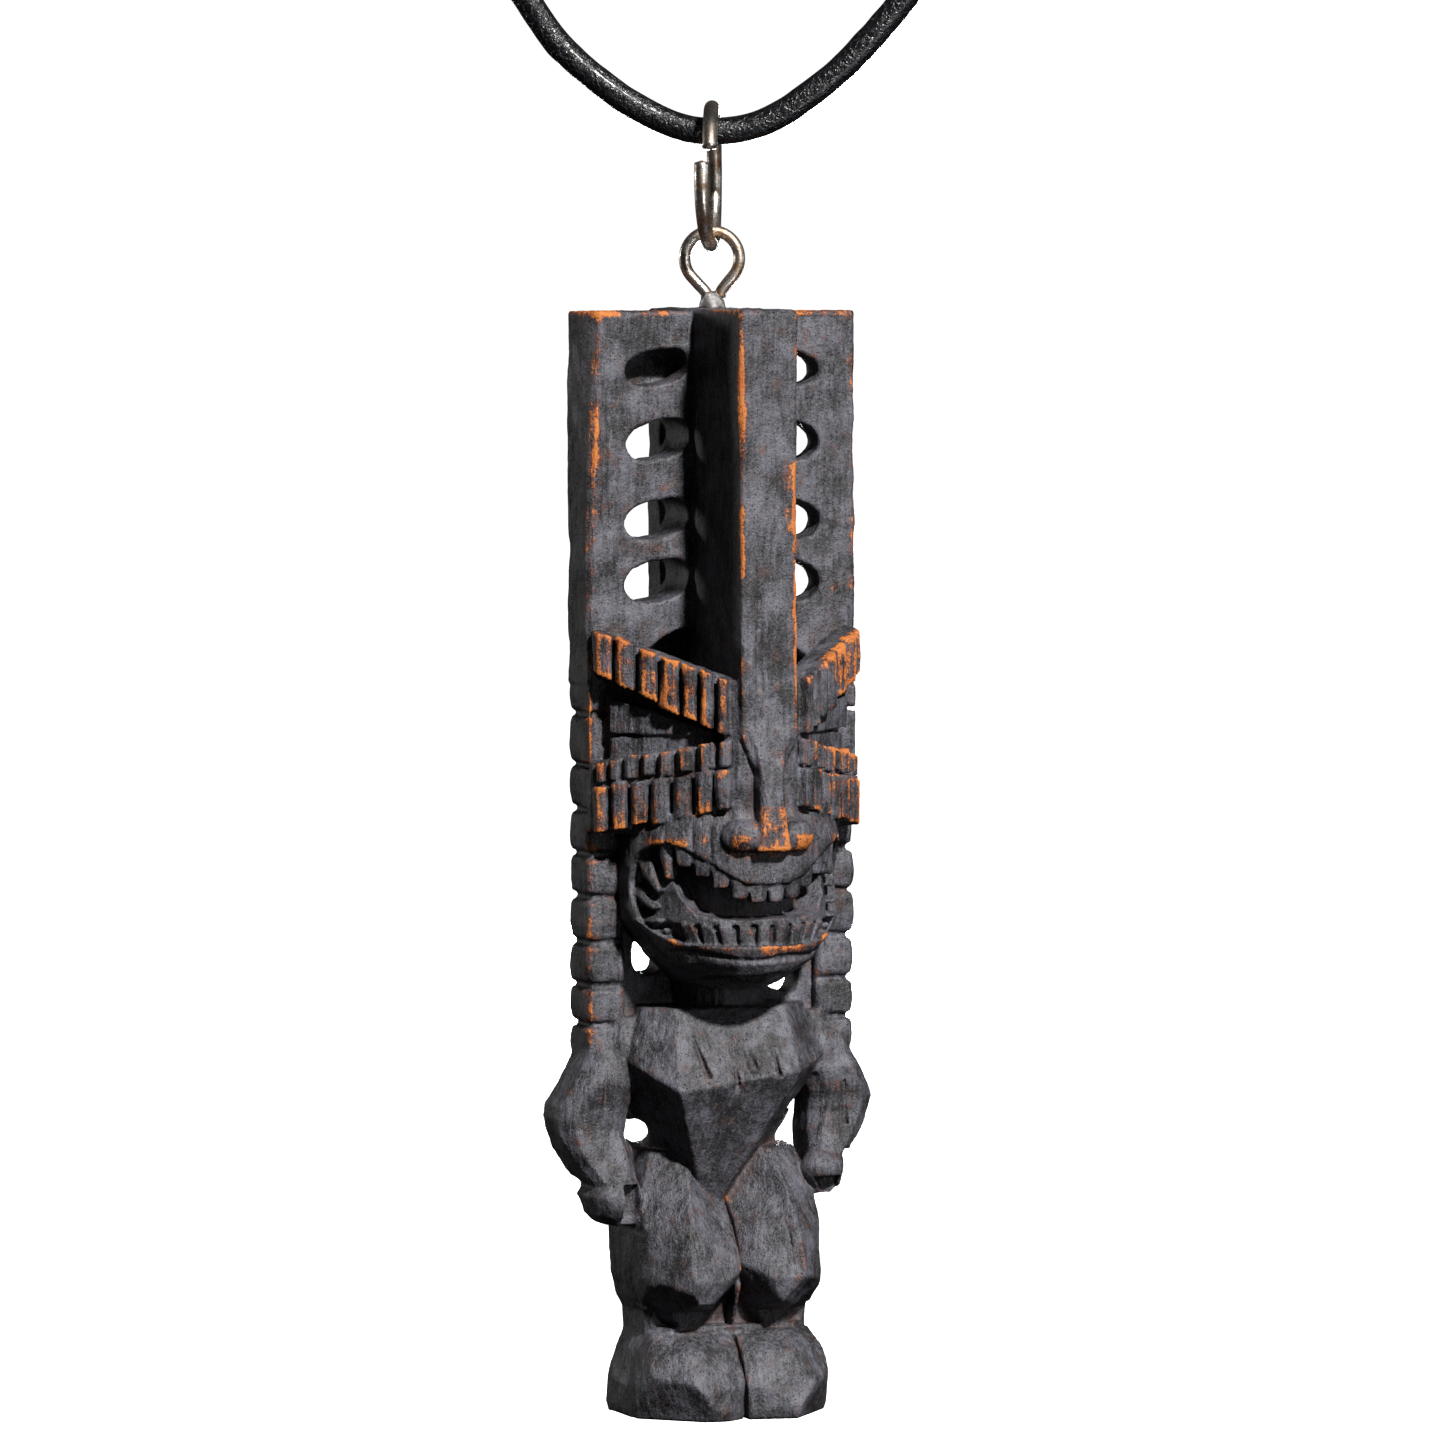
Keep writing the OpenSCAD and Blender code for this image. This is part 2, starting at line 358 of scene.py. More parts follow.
def pierced(corners: Outline, depth: Pair, rounding: float) -> Shape:
    """A hole cut from front to back, with round corners.

    Args:
        corners: its convex outline seen from the front, as x and z, anticlockwise.
        depth: its first and last y.
        rounding: how softly its corners turn.

    Returns:
        The solid to take away.
    """
    pts = np.array(corners, float)

    def distance(x: Array, y: Array, z: Array) -> Array:
        """How far places are outside the hole.

        Args:
            x, y, z: the places, across, front to back and up.

        Returns:
            Distances, negative inside.
        """
        far = None
        for a, b in zip(pts, np.roll(pts, -1, axis=0), strict=True):
            edge = b - a
            length = math.hypot(*edge)
            side = ((x - a[0]) * edge[1] - (z - a[1]) * edge[0]) / length
            far = side if far is None else -smooth_min(-far, -side, rounding)
        return np.maximum(np.maximum(far, depth[0] - y), y - depth[1])

    low, high = pts.min(0), pts.max(0)
    return Shape((low[0], depth[0], low[1]), (high[0], depth[1], high[1]), distance)


@dataclass(frozen=True)
class CheekFace:
    """The slanted right-hand face of the head, from the fin's corner out to the temple."""

    corner: Pair = (2.15, -10.5)
    temple: Pair = (10.4, -2.5)

    def length(self) -> float:
        """How long the face is."""
        return math.dist(self.corner, self.temple)

    def local(self, x: Array, y: Array) -> tuple[Array, Array]:
        """Distances along the face, outwards, and off it, towards the front.

        Args:
            x: across the figure.
            y: front to back.

        Returns:
            The two distances.
        """
        c = (self.temple[0] - self.corner[0]) / self.length()
        s = (self.temple[1] - self.corner[1]) / self.length()
        dx, dy = x - self.corner[0], y - self.corner[1]
        return dx * c + dy * s, dx * s - dy * c

    def slab(
        self,
        along: Pair,
        low: Pair,
        high: Pair,
        off: Pair,
        ridge: float = 0.0,
    ) -> Shape:
        """A slab on the face between two slanted edges, with a roof-shaped front if asked.

        Args:
            along: its two ends along the face.
            low: its lower edge's height at those ends.
            high: its upper edge's height at those ends.
            off: how far off the face it starts and ends.
            ridge: how much the front falls for each millimetre from its middle.

        Returns:
            The solid.
        """
        span = along[1] - along[0]
        middle = along[0] + 0.62 * span

        def distance(x: Array, y: Array, z: Array) -> Array:
            """How far places are outside the slab.

            Args:
                x, y, z: the places, across, front to back and up.

            Returns:
                Distances, negative inside.
            """
            u, w = self.local(x, y)
            t = (u - along[0]) / span
            far = np.maximum(along[0] - u, u - along[1])
            far = np.maximum(far, low[0] + (low[1] - low[0]) * t - z)
            far = np.maximum(far, z - high[0] - (high[1] - high[0]) * t)
            fall = np.where(u < middle, ridge * (middle - u), 2.2 * ridge * (u - middle))
            front = (w - off[1] + fall) / math.hypot(1, 1.5 * ridge)
            return np.maximum(np.maximum(np.maximum(far, x - self.temple[0] - 0.05), off[0] - w), front)

        ends = [self.spot(u, w) for u in along for w in off]
        xs, ys = [p[0] for p in ends], [p[1] for p in ends]
        return Shape((min(xs), min(ys), min(low)), (max(xs), max(ys), max(high)), distance)

    def spot(self, u: float, w: float) -> Pair:
        """The x and y of a place u along the face and w off it.

        Args:
            u: how far along the face.
            w: how far off it.

        Returns:
            Its x and y.
        """
        c = (self.temple[0] - self.corner[0]) / self.length()
        s = (self.temple[1] - self.corner[1]) / self.length()
        return self.corner[0] + u * c + w * s, self.corner[1] + u * s - w * c


# ---- the sculpture's field


class Sculpture:
    """A solid held as signed distances on a fine grid."""

    BAND = 1.0

    def __init__(self, low: Point, high: Point, step: float) -> None:
        """Starts with nothing in the box.

        Args:
            low: the box's lowest corner.
            high: its highest corner.
            step: the grid's spacing.
        """
        self.step = step
        self.low = np.array(low, float)
        counts = np.ceil((np.array(high) - self.low) / step).astype(int) + 1
        self.axes = [(self.low[k] + step * np.arange(counts[k])).astype(np.float32) for k in range(3)]
        self.far = np.full(counts, self.BAND, np.float32)

    def _window(self, shape: Shape) -> tuple:
        """The grid's part near a solid, and the solid's distances there.

        Args:
            shape: the solid.

        Returns:
            The slices and the distances.
        """
        margin = self.BAND
        cut = tuple(
            slice(*np.searchsorted(axis, (a - margin, b + margin)))
            for axis, a, b in zip(self.axes, shape.low, shape.high, strict=True)
        )
        x, y, z = (axis[part] for axis, part in zip(self.axes, cut, strict=True))
        found = shape.distance(x[:, None, None], y[None, :, None], z[None, None, :])
        return cut, np.clip(found, -self.BAND, self.BAND).astype(np.float32)

    def add(self, shape: Shape, soft: float = 0.0) -> None:
        """Joins a solid on.

        Args:
            shape: the solid.
            soft: the width of the fillet at the join.
        """
        cut, found = self._window(shape)
        self.far[cut] = smooth_min(self.far[cut], found, soft)

    def carve(self, shape: Shape, soft: float = 0.0) -> None:
        """Takes a solid away.

        Args:
            shape: the solid.
            soft: how rounded the cut's rim is.
        """
        cut, found = self._window(shape)
        self.far[cut] = -smooth_min(-self.far[cut], found, soft)

    def slice_off(self, cut: tuple[Point, Point, Point], low: Point, high: Point) -> None:
        """Takes off what stands in front of a flat knife cut, inside a box.

        Args:
            cut: three points on the cut.
            low: the box's lowest corner.
            high: its highest corner.
        """
        normal = np.cross(np.subtract(cut[1], cut[0]), np.subtract(cut[2], cut[0]))
        normal = normal / np.linalg.norm(normal) * (1 if normal[1] < 0 else -1)
        level = float(normal @ np.array(cut[0]))

        def beyond(x: Array, y: Array, z: Array) -> Array:
            """How far places are outside what is cut off.

            Args:
                x, y, z: the places, across, front to back and up.

            Returns:
                Distances, negative inside.
            """
            out = level - normal[0] * x - normal[1] * y - normal[2] * z
            for value, a, b in zip((x, y, z), low, high, strict=True):
                out = np.maximum(out, np.maximum(a - value, value - b))
            return out

        self.carve(Shape(low, high, beyond), 0.12)

    def add_pair(self, shape: Shape, soft: float = 0.0) -> None:
        """Joins a solid on, and its mirror image."""
        self.add(shape, soft)
        self.add(shape.mirrored(), soft)

    def carve_pair(self, shape: Shape, soft: float = 0.0) -> None:
        """Takes a solid and its mirror image away."""
        self.carve(shape, soft)
        self.carve(shape.mirrored(), soft)

    def blurred(self, radius: float) -> Array:
        """The field averaged over a box of that half width.

        Args:
            radius: the half width, in millimetres.

        Returns:
            The averaged field.
        """
        n = max(1, round(radius / self.step))
        out = self.far
        for axis in range(3):
            padded = np.pad(out, [(n + 1, n) if k == axis else (0, 0) for k in range(3)], mode="edge")
            total = np.cumsum(padded, axis=axis, dtype=np.float32)
            size = out.shape[axis]
            upper = np.take(total, range(2 * n + 1, 2 * n + 1 + size), axis=axis)
            out = (upper - np.take(total, range(size), axis=axis)) / (2 * n + 1)
        return out

    def sample(self, values: Array, points: Array) -> Array:
        """A grid's values at some points, by straight interpolation.

        Args:
            values: values on the grid.
            points: N places in millimetres.

        Returns:
            N values.
        """
        place = (points - self.low) / self.step
        cell = np.clip(np.floor(place).astype(int), 0, np.array(values.shape) - 2)
        t = np.clip(place - cell, 0, 1)
        total = np.zeros(len(points))
        for corner in range(8):
            step = np.array([corner & 1, corner >> 1 & 1, corner >> 2 & 1])
            i, j, k = (cell + step).T
            total += np.prod(np.where(step, t, 1 - t), axis=1) * values[i, j, k]
        return total

    def skin(self) -> tuple[Array, Array]:
        """The surface as points in millimetres and four-sided faces.

        Returns:
            The points and the faces.
        """
        grid = openvdb.FloatGrid(self.BAND)
        grid.copyFromArray(self.far)
        points, quads = grid.convertToQuads(0.0)
        return points * self.step + self.low, quads


# ---- the carving, part by part


@dataclass
class Headdress:
    """The pierced plate, the fin down its front and the spine down its back."""

    half_width: float = 10.5
    plate_y: Pair = (-1.9, 1.9)
    fin_half: float = 2.15
    fin_front: float = -10.9
    slot_heights: Row = (75.85, 70.65, 64.95, 60.55)
    slot_tall: Row = (0.96, 1.08, 1.06, 1.12)
    slot: tuple[Pair, ...] = (
        (2.2, -0.55), (4.4, -1.5), (6.4, -1.6), (7.5, -0.95),
        (7.55, 0.15), (6.7, 0.95), (4.8, 1.45), (2.2, 1.75),
    )
    closed_end: tuple[Pair, ...] = ((3.1, 1.55), (2.45, 0.9), (2.45, -0.3), (3.0, -1.1))

    def shape(self, carving: Sculpture) -> None:
        """Adds the headdress.

        Args:
            carving: the sculpture to add to.
        """
        wide, top = self.half_width, CROWN_MM
        front, back = self.plate_y

        def board(inset: float, trim: float = 0.0) -> Outline:
            """The plate's outline, its left front edge cut back by the inset."""
            w = wide - trim
            return [
                (-w + inset, front + trim), (w - 0.3, front + trim), (w, front + 0.3), (w, back - 0.2),
                (w - 0.2, back - trim), (-w + 0.2, back - trim), (-w, back - 0.2),
                (-w + inset - 0.35, front + 0.35),
            ]

        carving.add(loft([
            (53.0, board(0.5)), (60.0, board(0.45)), (67.0, board(0.6)), (73.0, board(0.85)),
            (top - 0.35, board(1.0)), (top, board(1.0, 0.3)),
        ]))
        self.pocket(carving)
        half, front = self.fin_half, self.fin_front
        carving.add(block([
            (47.5, -1.2, 1.2, -11.1, -1.0, 0.1), (49.6, -half, half, front - 0.2, -1.0, 0.1),
            (66.0, -half, half, front, -1.0, 0.15), (top - 0.3, -half - 0.1, half + 0.1, front, -1.0, 0.15),
            (top, -half, half, front + 0.3, -1.0, 0.3),
        ]), 0.2)
        carving.add(block([
            (32.0, -3.0, 3.0, 1.0, 5.0, 0.8), (54.0, -3.0, 3.0, 1.0, 5.5, 0.7),
            (top - 0.2, -3.0, 3.0, 1.0, 5.6, 0.5), (top, -2.8, 2.8, 1.0, 5.4, 0.5),
        ]), 0.4)
        self.slots(carving)

    def slots(self, carving: Sculpture) -> None:
        """Pierces four slots on each side; the top left one is blind, and the right ones flare.

        Args:
            carving: the sculpture.
        """
        for middle, tall in zip(self.slot_heights, self.slot_tall, strict=True):
            for side in (1, -1):
                ends = self.slot if side > 0 else self.slot[1:-1] + self.closed_end
                outline = [(side * x, middle + tall * z) for x, z in ends][::side]
                blind = side < 0 and middle == self.slot_heights[0]
                carving.carve(pierced(outline, (-2.6, 1.0 if blind else 2.8), 0.9), 0.22)
                if side > 0:
                    for spread, start, rim in ((0.25, -2.6, 0.2), (0.7, 0.3, 0.3)):
                        flare = [(x + spread, middle + tall * z) for x, z in self.slot]
                        carving.carve(pierced(flare, (start, 2.8), 0.9), rim)

    def pocket(self, carving: Sculpture) -> None:
        """Scoops the plate away behind the brows, beside the fin.

        Args:
            carving: the sculpture.
        """
        for side in (1, -1):
            scoop = [(1.6, 51.8), (8.4, 54.6), (8.0, 55.4), (6.2, 55.95), (2.9, 57.6), (1.6, 58.6)]
            outline = [(side * x, z) for x, z in scoop][::side]
            carving.carve(pierced(outline, (-2.6, 0.9), 0.5), 0.15)

    def cracks(self, carving: Sculpture) -> None:
        """Splits the plate's left edge and the fin's face along the grain.

        Args:
            carving: the sculpture.
        """
        carving.carve(stick((-9.0, -2.0, 65.0), (-9.15, -2.0, 74.2), 0.32, 0.2), 0.05)
        carving.carve(stick((-8.3, -1.95, 57.5), (-8.2, -1.95, 63.2), 0.12, 0.05), 0.1)
        carving.carve(stick((-10.5, 0.4, 62.0), (-10.5, 0.2, 73.0), 0.16, 0.05), 0.1)
        carving.carve(stick((-0.75, -11.1, 53.0), (-0.8, -11.05, 59.5), 0.3, 0.2), 0.05)
        carving.carve(stick((1.3, -10.95, 69.0), (1.45, -10.95, 75.5), 0.1, 0.04), 0.1)
        carving.carve(stick((8.4, -1.95, 62.0), (8.6, -1.95, 70.5), 0.12, 0.04), 0.1)


@dataclass
class Head:
    """The wedge-shaped head: brows, eye hollows, cheek bands and nose."""

    face: CheekFace = field(default_factory=CheekFace)
    brow_edges: Row = (0.5, 1.6, 2.9, 4.3, 6.0, 7.7, 9.5, 11.3)
    upper_edges: Row = (0.4, 1.6, 3.3, 4.9, 6.3, 7.6, 8.9, 10.1, 11.0)
    lower_edges: Row = (0.3, 1.7, 3.3, 5.0, 6.7, 8.3, 9.8, 11.3)

    def shape(self, carving: Sculpture) -> None:
        """Adds the head's wedge, then its hollows and bands.

        Args:
            carving: the sculpture.
        """
        half = [(2.15, -10.5), (10.4, -2.5), (10.4, -0.5)]
        carving.add(loft([(42.5, both_sides(half)), (52.6, both_sides(half))]), 0.2)
        carving.add(block([
            (height, -half, half, -1.9, 1.9, cut)
            for height, half, cut in (
                (30.4, 3.4, 0.6), (32.6, 3.9, 0.4), (35.4, 7.2, 0.4), (37.0, 7.6, 0.3), (54.0, 7.6, 0.3),
            )
        ]))
        carving.add(block([(height, -7.7, 7.7, -0.9, 1.9, 0.3) for height in (28.5, 36.0)]), 0.15)
        left_hole = [(-6.4, 34.9), (-6.5, 32.4), (-5.9, 31.9), (-4.4, 32.0), (-4.1, 33.1), (-5.3, 34.4)]
        right_hole = [(3.2, 31.3), (4.4, 30.5), (6.0, 30.1), (6.5, 30.8), (6.5, 33.6), (4.4, 33.4)]
        for hole in (left_hole, right_hole):
            carving.carve(pierced(hole, (-1.8, 3.0), 0.5), 0.2)
        carving.add_pair(self.face.slab((0.3, 11.4), (51.0, 51.0), (53.4, 56.8), (-1.7, 0.0)), 0.2)
        carving.carve_pair(self.face.slab((1.2, 11.6), (48.7, 47.6), (50.6, 54.6), (-1.25, 3.0)), 0.2)
        carving.add_pair(self.face.slab((2.2, 10.2), (48.6, 47.0), (49.9, 49.3), (-2.0, -0.5)), 0.15)
        carving.add_pair(self.face.slab((2.2, 10.2), (49.6, 49.6), (50.0, 52.2), (-2.0, -0.25)), 0.1)
        carving.add_pair(block([(height, 7.0, 9.5, -0.9, 1.9, 0.3) for height in (44.0, 54.5)]))
        self.bands(carving)
        self.nose(carving)
        carving.carve(block([(height, 9.95, 12.0, -8.0, -2.15, 0.1) for height in (41.0, 58.0)]), 0.1)

    def bands(self, carving: Sculpture) -> None:
        """Lays the ridged brows and the two ridged bands on each cheek.

        Args:
            carving: the sculpture.
        """
        carving.add_pair(self.face.slab((0.0, 11.4), (49.5, 54.2), (53.5, 57.0), (-1.2, 0.0)), 0.1)
        self.ridges(carving, self.brow_edges, (49.3, 54.2), (53.6, 57.2), (0.0, 1.0), 0.3)
        carving.add_pair(self.face.slab((0.0, 11.0), (47.2, 45.8), (49.4, 47.6), (-1.4, -0.15)), 0.1)
        self.ridges(carving, self.upper_edges, (47.5, 46.0), (49.6, 47.45), (-0.4, 0.7), 0.45)
        carving.add_pair(self.face.slab((0.0, 11.4), (44.7, 42.6), (47.3, 45.7), (-0.6, 0.0)), 0.1)
        self.ridges(carving, self.lower_edges, (44.5, 42.3), (47.5, 45.75), (-0.2, 1.02), 0.3)

    def ridges(
        self,
        carving: Sculpture,
        edges: Sequence[float],
        low: Pair,
        high: Pair,
        off: Pair,
        fall: float,
    ) -> None:
        """A row of ridges between two slanted edges.

        Args:
            carving: the sculpture.
            edges: where the ridges meet, along the face.
            low: the lower edge's height at the face's inner and outer ends.
            high: the upper edge's height there.
            off: how far off the face a ridge starts and ends.
            fall: how steeply a ridge falls from its crest.
        """
        length = self.face.length()

        def level(pair: Pair, u: float) -> float:
            """An edge's height, u along the face."""
            return pair[0] + (pair[1] - pair[0]) * u / length

        waver = np.random.default_rng(31).uniform(-1, 1, 2 * len(edges))
        for i, (a, b) in enumerate(zip(edges, edges[1:])):
            a, b = a + 0.15, b - 0.15
            drop, lift = 0.12 * waver[2 * i], 0.12 * waver[2 * i + 1]
            bottom = (level(low, a) + drop, level(low, b) + drop)
            top = (level(high, a) + lift, level(high, b) + lift)
            carving.add_pair(self.face.slab((a, b), bottom, top, off, fall), 0.06)

    def nose(self, carving: Sculpture) -> None:
        """Adds the narrow bridge and the flared tip.

        Args:
            carving: the sculpture.
        """

        def across(w: float, front: float) -> Outline:
            """The nose's outline, of that width and front."""
            return both_sides([(w * 0.42, front), (w / 2, front + 0.35), (w / 2, -9.6)])

        carving.add(loft([
            (41.4, across(2.7, -12.2)), (43.2, across(2.2, -12.1)), (44.4, across(1.9, -12.0)),
            (47.0, across(1.95, -11.7)), (48.8, across(2.6, -11.4)), (50.2, across(4.3, -11.15)),
        ]), 0.15)
        for side in (1, -1):
            carving.add(egg((side * 1.85, -10.35, 42.5), (1.6, 1.55, 1.3)), 0.25)
            carving.carve(stick((side * 2.05, -11.3, 48.4), (side * 2.0, -11.2, 44.6), 0.35, 0.8), 0.3)
            carving.carve(stick((side * 1.45, -12.1, 44.6), (side * 1.35, -11.4, 43.6), 0.3, 0.12), 0.2)
        carving.carve(block([(height, -4.0, 4.0, -13.0, -10.35, 0.1) for height in (40.2, 41.5)]), 0.1)


@dataclass
class Muzzle:
    """The round jaw and its snarling mouth, laid out by angle, height and distance from its axis."""

    axis_y: float = -3.0
    tooth_circle: float = 7.6
    degree_mm: float = math.radians(7.6)
    heights: Row = (31.3, 31.8, 32.5, 33.3, 34.6, 38.0, 42.0, 44.0)
    radii: Row = (5.0, 6.2, 7.1, 7.7, 8.0, 8.1, 8.0, 7.6)
    lip_turn: Row = (0, 12, 20, 31, 43.5, 54, 63, 74, 80, 84)
    lip_top: Row = (39.0, 39.1, 39.6, 40.6, 41.5, 41.9, 41.8, 41.1, 40.1, 38.9)
    lip_low: Row = (34.65, 34.65, 34.65, 34.65, 34.7, 34.85, 35.15, 36.0, 37.2, 38.6)

    def radius(self, z: Array) -> Array:
        """The jaw's radius at a height."""
        return np.interp(z, self.heights, self.radii)

    def squeeze(self, z: Array) -> Array:
        """How much narrower than round the jaw is at a height."""
        return np.interp(z, (31.0, 32.3, 33.3, 34.7, 36.2), (1.6, 1.5, 1.34, 1.16, 1.0))

    def polar(self, x: Array, y: Array, z: Array) -> tuple:
        """Turn from the front in degrees, and depth below the jaw's surface.

        Args:
            x, y, z: the places, across, front to back and up.

        Returns:
            The turn and the depth.
        """
        wide = x * self.squeeze(z)
        turn = np.degrees(np.arctan2(wide, self.axis_y - y))
        depth = self.radius(z) - np.hypot(wide, y - self.axis_y)
        return turn, depth

    def spot(self, turn: float, z: float, deep: float) -> Point:
        """The place at a turn, a height and a depth below the jaw's surface.

        Args:
            turn: the turn from the front, in degrees.
            z: the height.
            deep: the depth.

        Returns:
            The place.
        """
        r = float(self.radius(np.array(z))) - deep
        a = math.radians(turn)
        return (r * math.sin(a) / float(self.squeeze(np.array(z))), self.axis_y - r * math.cos(a), z)

    def region(self, inside: Distance, low: Point, high: Point, depth: Pair) -> Shape:
        """A solid under the jaw's surface.

        Args:
            inside: a field of turn, height and depth below the surface, negative inside the region.
            low: its box's lowest corner.
            high: its box's highest corner.
            depth: its least and most depth below the surface.

        Returns:
            The solid.
        """

        def distance(x: Array, y: Array, z: Array) -> Array:
            """How far places are outside the region."""
            turn, deep = self.polar(x, y, z)
            return np.maximum(np.maximum(inside(turn, z, deep), depth[0] - deep), deep - depth[1])

        return Shape(low, high, distance)

    def front_box(self) -> tuple[Point, Point]:
        """The box that holds the mouth."""
        return (-9.0, -12.0, 31.0), (9.0, -2.4, 43.0)

    def jaw(self) -> Shape:
        """The whole round jaw.

        Returns:
            The solid.
        """

        def distance(x: Array, y: Array, z: Array) -> Array:
            """How far places are outside the jaw.

            Args:
                x, y, z: the places, across, front to back and up.

            Returns:
                Distances, negative inside.
            """
            rise = (self.radius(z + 0.1) - self.radius(z - 0.1)) / 0.2
            narrow = self.squeeze(z)
            off = (np.hypot(x * narrow, y - self.axis_y) - self.radius(z)) / np.sqrt(1 + rise * rise)
            off = off / np.sqrt(narrow)
            ends = np.maximum(z - self.heights[-1], y - 1.0)
            return np.maximum(np.maximum(off, self.heights[0] - z), ends)

        return Shape((-8.2, -11.2, self.heights[0]), (8.2, 1.0, self.heights[-1]), distance)

    def tooth(self, turn: float, root: float, tip: float, width: float, depth: Pair) -> Shape:
        """One tooth that narrows from its root to its tip.

        Args:
            turn: where it stands, in degrees.
            root: the height of its root.
            tip: the height of its tip.
            width: its width at the root, in millimetres.
            depth: how deep its face and its back lie.

        Returns:
            The solid.
        """
        low, high = min(root, tip), max(root, tip)

        def inside(t: Array, z: Array, deep: Array) -> Array:
            """How far places are outside the tooth.

            Args:
                t, z, deep: turn in degrees, height and depth.

            Returns:
                Distances, negative inside.
            """
            way = np.clip((z - root) / (tip - root), 0, 1)
            half = 0.5 * width * (1 - 0.3 * way * way)
            across = np.abs(t - turn) * self.degree_mm - half
            bulge = 0.18 * way + 0.5 * np.square(np.abs(t - turn) * self.degree_mm / width)
            face = bulge * 0.6 + depth[0] - deep
            return np.maximum(np.maximum(across, face), np.maximum(low - z, z - high))

        x = self.tooth_circle * math.sin(math.radians(turn))
        y = self.axis_y - self.tooth_circle * math.cos(math.radians(turn))
        corners = (x - 1.6, y - 1.6, low), (x + 1.6, y + 1.6, high)
        return self.region(inside, *corners, (depth[0] - 0.3, depth[1]))

    def fang(self, turn: Pair, height: Pair, width: float) -> Shape:
        """A pointed tooth that grows inwards from the rim.

        Args:
            turn: its turns at the root and the tip, in degrees.
            height: its heights there.
            width: its width at the root.

        Returns:
            The solid.
        """
        start = np.array([turn[0] * self.degree_mm, height[0]])
        end = np.array([turn[1] * self.degree_mm, height[1]])
        along = end - start
        length = float(np.hypot(*along))
        along = along / length

        def inside(t: Array, z: Array, deep: Array) -> Array:
            """How far places are outside the fang.

            Args:
                t, z, deep: turn in degrees, height and depth.

            Returns:
                Distances, negative inside.
            """
            p, q = t * self.degree_mm - start[0], z - start[1]
            way = p * along[0] + q * along[1]
            side = np.abs(p * along[1] - q * along[0])
            half = 0.5 * width * (1 - 0.85 * np.clip(way / length, 0, 1))
            roof = 0.32 + 0.55 * side - deep
            return np.maximum(np.maximum(side - half, roof), np.maximum(-way, way - length))

        low, high = self.front_box()
        return self.region(inside, low, high, (0.2, 1.6))

    def shape(self, carving: Sculpture) -> None:
        """Adds the jaw, then cuts the mouth and sets its teeth.

        Args:
            carving: the sculpture.
        """
        carving.add(self.jaw(), 0.15)
        cut = (1.5, -9.5, 32.2), (6.0, -6.5, 33.6), (4.5, -2.0, 31.2)
        carving.slice_off(cut, (0.2, -12.0, 30.4), (7.6, -1.0, 34.0))
        low, high = self.front_box()
        scale = self.degree_mm

        def mouth(t: Array, z: Array, deep: Array) -> Array:
            """How far places are outside the open lips.

            Args:
                t, z, deep: turn in degrees, height and depth.

            Returns:
                Distances, negative inside.
            """
            top = np.interp(np.abs(t), self.lip_turn, self.lip_top)
            under = np.interp(np.abs(t), self.lip_turn, self.lip_low)
            rise = np.interp(np.abs(t), self.lip_turn, np.gradient(self.lip_top, self.lip_turn)) / scale
            fall = np.interp(np.abs(t), self.lip_turn, np.gradient(self.lip_low, self.lip_turn)) / scale
            upper = (z - top) / np.sqrt(1 + rise * rise)
            lower = (under - z) / np.sqrt(1 + fall * fall)
            return np.maximum(np.maximum(upper, lower), (np.abs(t) - 83.5) * scale)

        carving.carve(self.region(mouth, low, high, (-2.0, 1.15)), 0.2)

        def hollow(t: Array, z: Array, deep: Array) -> Array:
            """How far places are outside the space behind the lips.

            Args:
                t, z, deep: turn in degrees, height and depth.

            Returns:
                Distances, negative inside.
            """
            top = np.interp(np.abs(t), self.lip_turn, self.lip_top) - 1.1
            under = np.interp(np.abs(t), (0, 25, 40, 50, 57, 62), (36.4, 36.4, 36.8, 37.9, 39.0, 40.2))
            return np.maximum((z - top) * 0.85, (under - z) * 0.8)

        carving.carve(self.region(hollow, low, high, (0.2, 2.9)), 0.3)

        def gum(t: Array, z: Array, deep: Array) -> Array:
            """How far places are outside the lower gum.

            Args:
                t, z, deep: turn in degrees, height and depth.

            Returns:
                Distances, negative inside.
            """
            under = np.interp(np.abs(t), (0, 25, 40, 50, 57, 62), (36.5, 36.5, 36.9, 38.0, 39.2, 40.4))
            inner = np.interp(np.abs(t), self.lip_turn, self.lip_low) - 0.6
            face = np.interp(z, (34.4, 35.95, 36.15, 36.8, 38.2, 40.0), (1.1, 1.1, 0.72, 0.75, 0.95, 1.1))
            slope = face + 0.25 * smooth_step(np.abs(t), 48.0, 62.0) - deep
            reach = np.maximum(slope * 0.8, (np.abs(t) - 72) * scale)
            return np.maximum(np.maximum((z - under) * 0.8, (inner - z)), reach)

        carving.add(self.region(gum, low, high, (0.3, 3.0)), 0.15)
        self.teeth(carving)
        self.lips(carving)

    def teeth(self, carving: Sculpture) -> None:
        """Sets both rows of teeth and the pointed ones in the corners.

        Args:
            carving: the sculpture.
        """
        for i in range(10):
            turn = -46.0 + 10.2 * i
            edge = float(np.interp(abs(turn), self.lip_turn, self.lip_top))
            carving.add(self.tooth(turn, edge + 0.3, edge - 1.35, 1.4, (0.22, 2.2)), 0.05)
        for i in range(9):
            turn = -46.0 + 11.2 * i
            edge = float(np.interp(abs(turn), self.lip_turn, self.lip_low))
            carving.add(self.tooth(turn, edge - 0.3, edge + 1.42, 1.28, (0.35, 2.0)), 0.05)
        for side in (1, -1):
            for root, tip, heights, width in (
                (60, 56, (42.0, 39.3), 1.9), (81, 62, (40.9, 38.4), 1.7), (84, 65, (38.2, 37.2), 1.5),
                (80, 62, (36.0, 36.3), 1.4), (70, 60, (34.8, 35.7), 1.2),
            ):
                carving.add(self.fang((side * root, side * tip), heights, width), 0.08)

